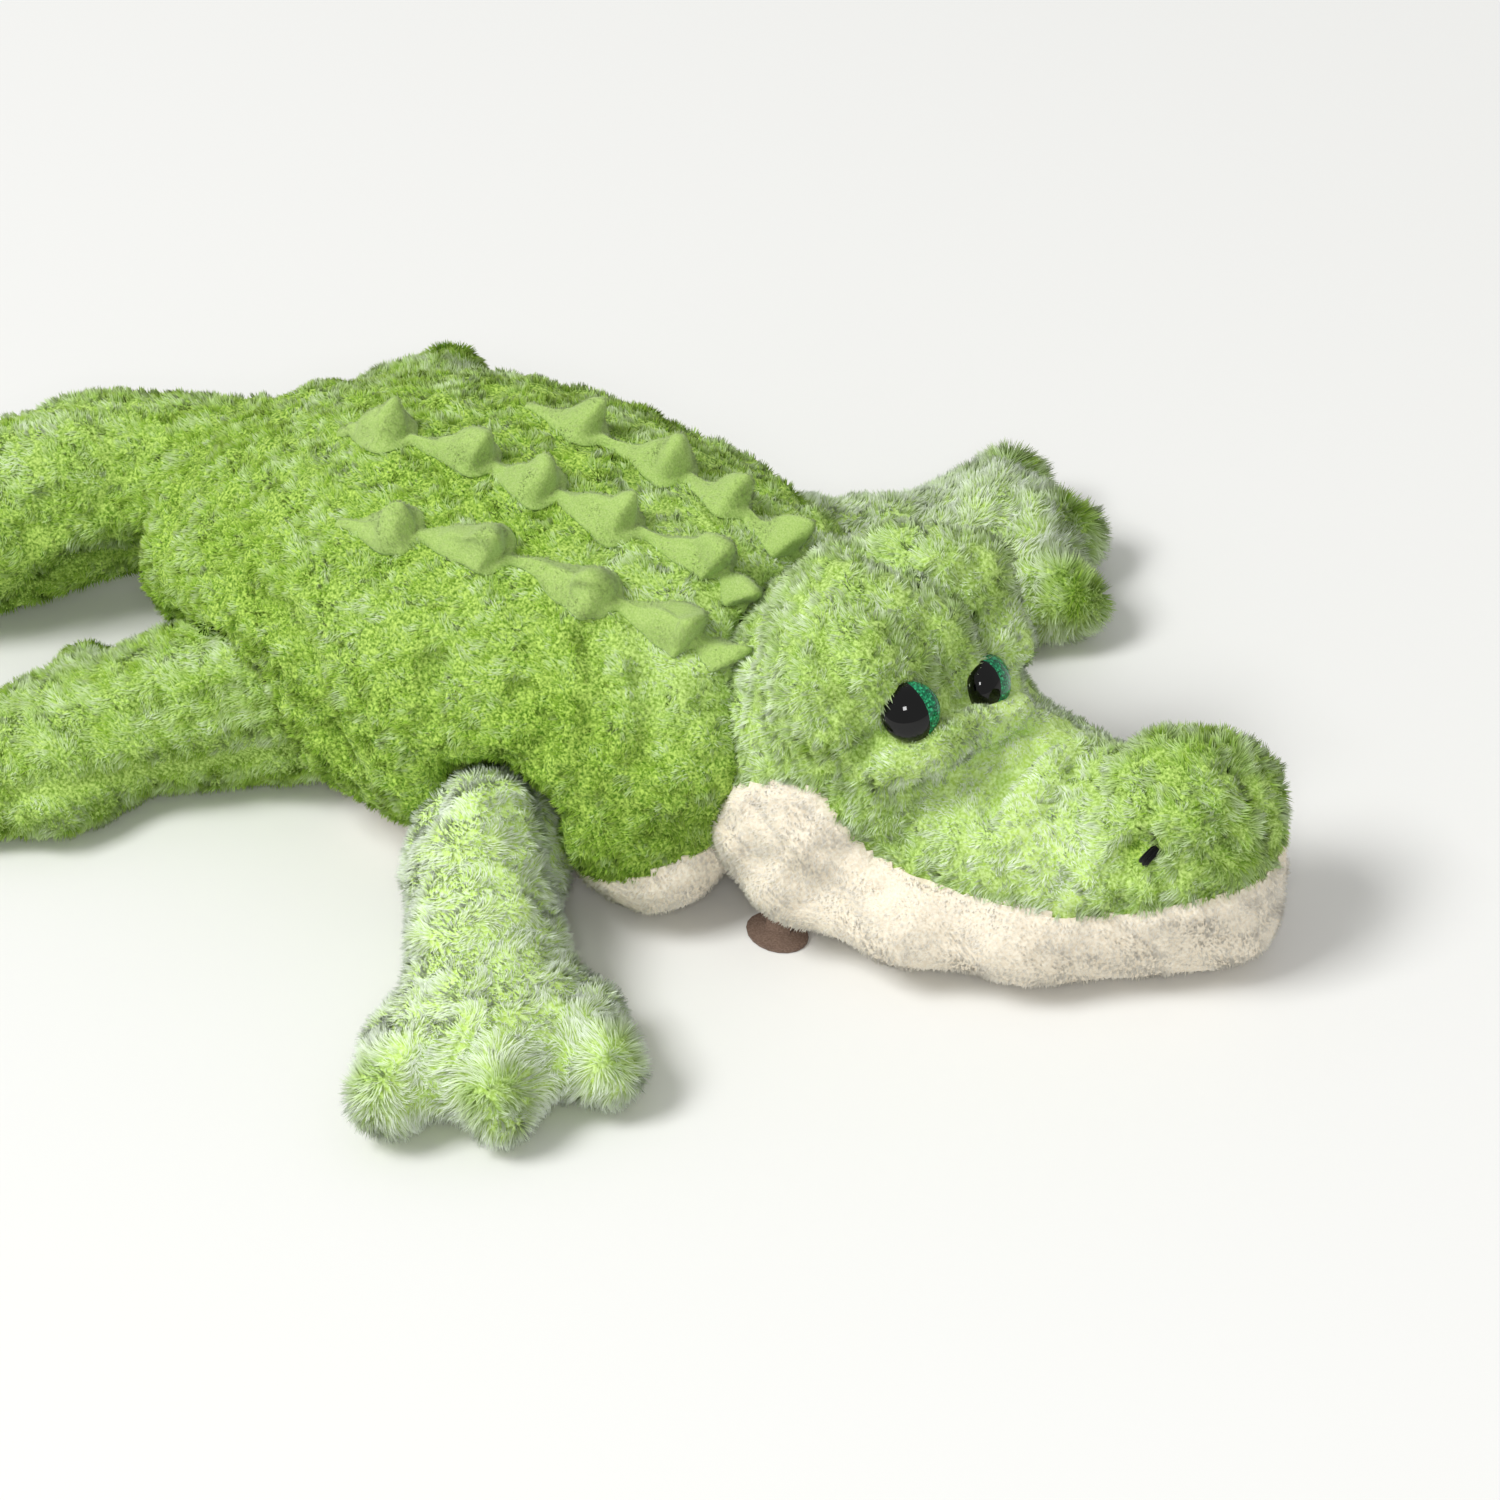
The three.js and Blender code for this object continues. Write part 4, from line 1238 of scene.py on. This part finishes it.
class PileOperator(bpy.types.Operator):
    """Grows the green and cream pile on the skins"""

    bl_idname = "plush.pile"
    bl_label = "Pile"

    def execute(self, context):
        settings = context.scene.plush_pile
        green = finishes["green_pile"]
        cream = finishes["cream_pile"]
        for number, part in enumerate(PARTS):
            obj = skins[part]
            others = [trees[p] for p in trees if p != part]
            weights = hidden_weights(obj, others, 0.5 * MM)
            normals = mesh_normals(obj.data)
            low = mesh_points(obj.data)[:, 2] < 25 * MM
            weights[(normals[:, 2] < -0.7) & low] *= settings.under_share
            for tree in others:
                covered = close_to(mesh_points(obj.data), normals, tree, 3 * MM)
                weights *= 1 - (1 - settings.under_share) * covered
            panel = CREAM_PANELS.get(part)
            field = fields[part] if panel else None
            sown = settings.pile_density
            tall = settings.pile_length
            seed = number + 1
            grown = pile_on(part, obj, "green", weights, settings, seed, tall, sown, field=field, side=1)
            for piece in grown:
                finished(piece, part, green)
            if panel:
                short = settings.cream_length
                seed = number + 51
                grown = pile_on(
                    part, obj, "cream", weights, settings, seed, short, sown, width=1.4, field=field, side=-1
                )
                for piece in grown:
                    finished(piece, part, cream)
        for number, side in enumerate(("right", "middle", "left")):
            obj = skins[f"scutes_{side}"]
            facing = mesh_normals(obj.data)
            foot = trees["torso"]
            points = mesh_points(obj.data)
            outside = np.zeros(len(points))
            for k, p in enumerate(points):
                near, out, _, far = foot.find_nearest(Vector(p))
                outside[k] = far > 1.2 * MM and Vector(facing[k]).dot(out) > -0.2
            kind = f"scutes_{side}"
            seed = number + 81
            grown = pile_on(
                "torso", obj, kind, outside, settings, seed, SCUTE_PILE, SCUTE_DENSITY, lean=1.6, width=0.7
            )
            for piece in grown:
                finished(piece, "torso", finishes["scute_pile"])
        return {"FINISHED"}


# Scutes

# Length of the scutes' short pile, and its strands for each square millimetre
SCUTE_PILE = 1.3 * MM
SCUTE_DENSITY = 1.6
# Apexes stand at least this high over the skin and this far apart, and are drawn no higher than the last
PEAK_LEAST = 13 * MM
PEAK_APART = 24.5 * MM
PEAK_MOST = 18 * MM
STRIP_ROW = 1.0 * MM
STRIP_COLUMNS = 26


def scute_peaks(node, tree):
    """The apexes of a strip's CAD form, from rump to neck, and their height over the skin."""
    points = np.unique(mesh_points(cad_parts[node].data).round(5), axis=0)
    heights = np.array([tree.find_nearest(Vector(p))[3] for p in points])
    peaks = []
    for k in np.argsort(-heights):
        if heights[k] < PEAK_LEAST:
            break
        if all(np.linalg.norm(points[k] - p) > PEAK_APART for p, _ in peaks):
            peaks.append((points[k], heights[k]))
    peaks.sort(key=lambda pair: pair[0][0])
    return peaks


def make_scutes(side, settings):
    """A row of stuffed scutes: each rises from a narrow tail to a peak and drops to a hollow front."""
    node = f"scute_strip_{side}"
    tree = trees["torso"]
    peaks = scute_peaks(node, tree)
    feet = []
    for p, _ in peaks:
        feet.append(np.array(tree.find_nearest(Vector(p))[0]))
    feet = np.array(feet)
    first = feet[0] + (feet[0] - feet[1]) / np.linalg.norm(feet[0] - feet[1]) * settings.scute_tail
    last = feet[-1] + (feet[-1] - feet[-2]) / np.linalg.norm(feet[-1] - feet[-2]) * settings.scute_front
    chain = np.vstack([first, feet, last])
    along = np.concatenate([[0], np.cumsum(np.linalg.norm(np.diff(chain, axis=0), axis=1))])
    rows = int(along[-1] / STRIP_ROW)
    bm = bmesh.new()
    bmesh.ops.create_grid(bm, x_segments=rows, y_segments=STRIP_COLUMNS, size=0.5)
    for v in bm.verts:
        s = (v.co.x + 0.5) * along[-1]
        q = v.co.y * 2
        centre = Vector([np.interp(s, along, chain[:, k]) for k in range(3)])
        ahead = Vector([np.interp(min(s + 4 * MM, along[-1]), along, chain[:, k]) for k in range(3)])
        behind = Vector([np.interp(max(s - 4 * MM, 0), along, chain[:, k]) for k in range(3)])
        way = (ahead - behind).normalized()
        foot, out, _, _ = tree.find_nearest(centre)
        across = out.cross(way).normalized()
        rise, half, push, hollow = 0.0, settings.scute_link, 0.0, 0.0
        for number, ((_, high), at) in enumerate(zip(peaks, along[1:-1])):
            size = min(high / PEAK_MOST, 1.1)
            high = min(high, PEAK_MOST)
            tail = min(settings.scute_tail * size, 0.72 * (at - along[number]))
            front = min(settings.scute_front * size, 0.26 * (along[number + 2] - at))
            x = (s - at) / (tail if s < at else front)
            if abs(x) >= 1:
                continue
            if x < 0:
                ridge = (1 + x) ** 1.25
                broad = (1 + x) ** 0.85
            else:
                ridge = (1 - x) ** 1.3
                broad = math.sqrt(1 - x * x)
                hollow = max(hollow, math.sin(math.pi * min(1, x * 1.2)) * size)
            rise = max(rise, ridge * high)
            swell = settings.scute_width * size - settings.scute_link
            half = max(half, settings.scute_link + swell * broad)
            push = max(push, ridge * size)
        rise = max(rise, settings.scute_ridge * min(1, s / (8 * MM), (along[-1] - s) / (8 * MM)))
        body = math.sqrt(q * q + 0.0012)
        tent = max(0.0, 1 - body)
        flank = rise * tent - hollow * 3.5 * MM * math.exp(-((q / 0.45) ** 2))
        place = foot + across * (q * half)
        base, up, _, _ = tree.find_nearest(place)
        up = (up + out).normalized()
        edge = settings.scute_edge * (1 - q**8)
        v.co = base + up * (edge + max(flank, 0)) + way * (push * tent * settings.scute_push)
    for _ in range(4):
        bmesh.ops.smooth_vert(
            bm, verts=bm.verts, factor=0.5, use_axis_x=True, use_axis_y=True, use_axis_z=True
        )
    bmesh.ops.recalc_face_normals(bm, faces=bm.faces)
    mesh = bpy.data.meshes.new(f"scutes_{side}")
    bm.to_mesh(mesh)
    bm.free()
    obj = add_object(f"scutes_{side}", mesh)
    centre_face = mesh.polygons[len(mesh.polygons) // 2]
    if centre_face.normal.z < 0:
        mesh.flip_normals()
    wall = obj.modifiers.new("Stuffing", "SOLIDIFY")
    wall.thickness = settings.scute_wall
    wall.offset = -1.0
    apply_modifiers(obj)
    obj.data.polygons.foreach_set("use_smooth", np.ones(len(obj.data.polygons), bool))
    return obj


class ScuteOperator(bpy.types.Operator):
    """Makes the three strips of short-pile scutes along the back"""

    bl_idname = "plush.scutes"
    bl_label = "Scutes"

    def execute(self, context):
        settings = context.scene.plush_scutes
        for side in ("right", "middle", "left"):
            obj = make_scutes(side, settings)
            trees[f"scutes_{side}"] = tree_of(obj)
            skins[f"scutes_{side}"] = obj
            finished(obj, "torso", finishes["scute_plush"], [f"scute_strip_{side}"])
        return {"FINISHED"}


class TrimOperator(bpy.types.Operator):
    """Makes the eyes, nostrils and the tag"""

    bl_idname = "plush.trim"
    bl_label = "Eyes, nostrils and tag"

    def execute(self, context):
        kept = {"jaw_tag": "brown_suede"}
        for side in ("right", "left"):
            make_eye(side)
            kept[f"eye_washer_{side}"] = "washer_nylon"
            make_nostril(side)
        for node, finish in kept.items():
            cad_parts[node].data.materials.clear()
            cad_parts[node].data.materials.append(finishes[finish])
        return {"FINISHED"}


def make_nostril(side):
    """A few thick threads side by side, drawn tight over a slit, their ends going into the muzzle."""
    node = f"nostril_stitch_{side}"
    low, high = (Vector(corner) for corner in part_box(node))
    middle = (low + high) / 2
    aim = (middle - NOSE_MIDDLE).normalized()
    up = Vector((0, 0, 1))
    along = (up - aim * up.dot(aim)).normalized()
    slant = 35 if side == "right" else -35
    along.rotate(Matrix.Rotation(math.radians(-slant), 3, aim))
    bm = bmesh.new()
    bow = 6.0 * MM
    thread = 0.75 * MM
    half = math.radians(52)
    for k in range(4):
        ring = bmesh.ops.create_circle(bm, segments=10, radius=thread)
        verts = ring["verts"]
        edges = list({e for v in verts for e in v.link_edges})
        shift = Matrix.Translation(((k - 1.5) * 0.75 * MM, -bow + 0.2 * MM * (k % 2), (k % 2) * 0.8 * MM))
        start = Matrix.Rotation(-half, 4, "X")
        bmesh.ops.transform(bm, matrix=start @ Matrix.Translation((0, bow, 0)), verts=verts)
        bmesh.ops.spin(
            bm, geom=verts + edges, cent=(0, 0, 0), axis=(1, 0, 0), angle=2 * half, steps=12, use_merge=False
        )
        piece = {v for e in edges for v in e.verts}
        grown = True
        while grown:
            more = {o for v in piece for e in v.link_edges for o in e.verts} - piece
            piece |= more
            grown = bool(more)
        bmesh.ops.transform(bm, matrix=shift, verts=list(piece))
    bmesh.ops.holes_fill(bm, edges=[e for e in bm.edges if e.is_boundary], sides=0)
    bmesh.ops.recalc_face_normals(bm, faces=bm.faces)
    across = along.cross(aim)
    frame_turn = Matrix((across, aim, along)).transposed().to_4x4()
    seat = trees["head"].find_nearest(middle)[0] + aim * NOSTRIL_RISE
    bmesh.ops.transform(bm, matrix=Matrix.Translation(seat) @ frame_turn, verts=bm.verts)
    for f in bm.faces:
        f.smooth = True
    mesh = bpy.data.meshes.new(f"{node}_threads")
    bm.to_mesh(mesh)
    bm.free()
    finished(add_object(mesh.name, mesh), "head", finishes["black_thread"], [node])


def eye_material():
    """Black glass with a crescent of green glitter under it."""
    mat, tree, shader = new_material("eye_glass", roughness=0.03, specular=0.4)
    uv = tree.nodes.new("ShaderNodeUVMap")
    uv.uv_map = "OFBake"
    grain = tree.nodes.new("ShaderNodeTexVoronoi")
    grain.inputs["Scale"].default_value = 38.0
    tree.links.new(uv.outputs["UV"], grain.inputs["Vector"])
    flakes = tree.nodes.new("ShaderNodeSeparateXYZ")
    tree.links.new(grain.outputs["Color"], flakes.inputs["Vector"])
    glitter = ramp(
        tree,
        [(0.0, (0.0, 0.24, 0.15)), (0.6, (0.02, 0.46, 0.30)), (1.0, (0.22, 0.74, 0.50))],
        flakes.outputs["X"],
    )
    gap = tree.nodes.new("ShaderNodeVectorMath")
    gap.operation = "DISTANCE"
    tree.links.new(uv.outputs["UV"], gap.inputs[0])
    gap.inputs[1].default_value = (-0.24, 0.22, 0)
    beyond = tree.nodes.new("ShaderNodeMath")
    beyond.operation = "GREATER_THAN"
    tree.links.new(gap.outputs["Value"], beyond.inputs[0])
    beyond.inputs[1].default_value = 1.02
    mix = tree.nodes.new("ShaderNodeMix")
    mix.data_type = "RGBA"
    tree.links.new(beyond.outputs[0], mix.inputs["Factor"])
    mix.inputs[6].default_value = linear((0.01, 0.01, 0.01))
    tree.links.new(glitter, mix.inputs[7])
    tree.links.new(mix.outputs[2], shader.inputs["Base Color"])
    return mat


def make_eye(side):
    """A domed eye on its shank, spun round its own axis."""
    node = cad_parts[f"eye_{side}"]
    points = mesh_points(node.data)
    away = points - np.array(HEAD_MIDDLE)
    tip = Vector(points[np.argmax(np.linalg.norm(away, axis=1))])
    aim = (tip - HEAD_MIDDLE).normalized()
    bm = bmesh.new()
    steps = 14
    outline = []
    for k in range(steps + 1):
        a = math.pi / 2 * k / steps
        outline.append(bm.verts.new((EYE_RADIUS * math.cos(a), 0, EYE_DOME * math.sin(a))))
    first = bm.verts.new((EYE_RADIUS, 0, EYE_BACK))
    shank = bm.verts.new((SHANK_RADIUS, 0, EYE_BACK))
    end = bm.verts.new((SHANK_RADIUS, 0, SHANK_END))
    bottom = bm.verts.new((0, 0, SHANK_END))
    chain = [bottom, end, shank, first] + outline
    edges = [bm.edges.new(pair) for pair in zip(chain, chain[1:])]
    bmesh.ops.spin(
        bm,
        geom=chain + edges,
        cent=(0, 0, 0),
        axis=(0, 0, 1),
        angle=2 * math.pi,
        steps=40,
        use_merge=True,
    )
    bmesh.ops.remove_doubles(bm, verts=bm.verts, dist=0.01 * MM)
    bmesh.ops.recalc_face_normals(bm, faces=bm.faces)
    look_aside = 0.36 if side == "left" else 0.02
    layer = bm.loops.layers.uv.new("OFBake")
    for f in bm.faces:
        f.smooth = True
        for loop in f.loops:
            co = loop.vert.co
            on_dome = f.calc_center_median().z > -0.5 * MM
            flat = (co.x / EYE_RADIUS * 0.48 + 0.5 + look_aside, co.y / EYE_RADIUS * 0.48 + 0.5)
            loop[layer].uv = flat if on_dome else (0.01, 0.01)
    view = Euler([math.radians(a) for a in CAMERA_TURN]).to_matrix()
    right = view @ Vector((1, 0, 0))
    right = (right - aim * right.dot(aim)).normalized()
    turn = Matrix((right, aim.cross(right), aim)).transposed().to_4x4()
    place = Matrix.Translation(tip - aim * EYE_DOME) @ turn
    bmesh.ops.transform(bm, matrix=place, verts=bm.verts)
    mesh = bpy.data.meshes.new(f"eye_{side}_gloss")
    bm.to_mesh(mesh)
    bm.free()
    obj = add_object(f"eye_{side}_gloss", mesh)
    finished(obj, "head", finishes["eye_gloss"], [f"eye_{side}"])


class PlushPanel(bpy.types.Panel):
    """Lists the operators and settings in the sidebar"""

    bl_idname = "VIEW3D_PT_plush"
    bl_label = "Plush crocodile"
    bl_space_type = "VIEW_3D"
    bl_region_type = "UI"
    bl_category = "Plush"

    def draw(self, context):
        for step in STEPS:
            self.layout.operator(step.bl_idname)
        scene = context.scene
        for group in (scene.plush_pile, scene.plush_scutes, scene.plush_look):
            for name in group.__annotations__:
                self.layout.prop(group, name)


STEPS = (StageOperator, SkinOperator, ScuteOperator, PileOperator, TrimOperator)
CLASSES = (PileSettings, ScuteSettings, LookSettings, *STEPS, PlushPanel)


def register():
    for c in CLASSES:
        bpy.utils.register_class(c)
    bpy.types.Scene.plush_pile = PointerProperty(type=PileSettings)
    bpy.types.Scene.plush_scutes = PointerProperty(type=ScuteSettings)
    bpy.types.Scene.plush_look = PointerProperty(type=LookSettings)


def unregister():
    del bpy.types.Scene.plush_look
    del bpy.types.Scene.plush_scutes
    del bpy.types.Scene.plush_pile
    for c in reversed(CLASSES):
        bpy.utils.unregister_class(c)


def main():
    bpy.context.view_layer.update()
    register()
    bpy.ops.plush.stage()
    bpy.ops.plush.skins()
    bpy.ops.plush.scutes()
    bpy.ops.plush.pile()
    bpy.ops.plush.trim()


if __name__ == "__main__":
    main()
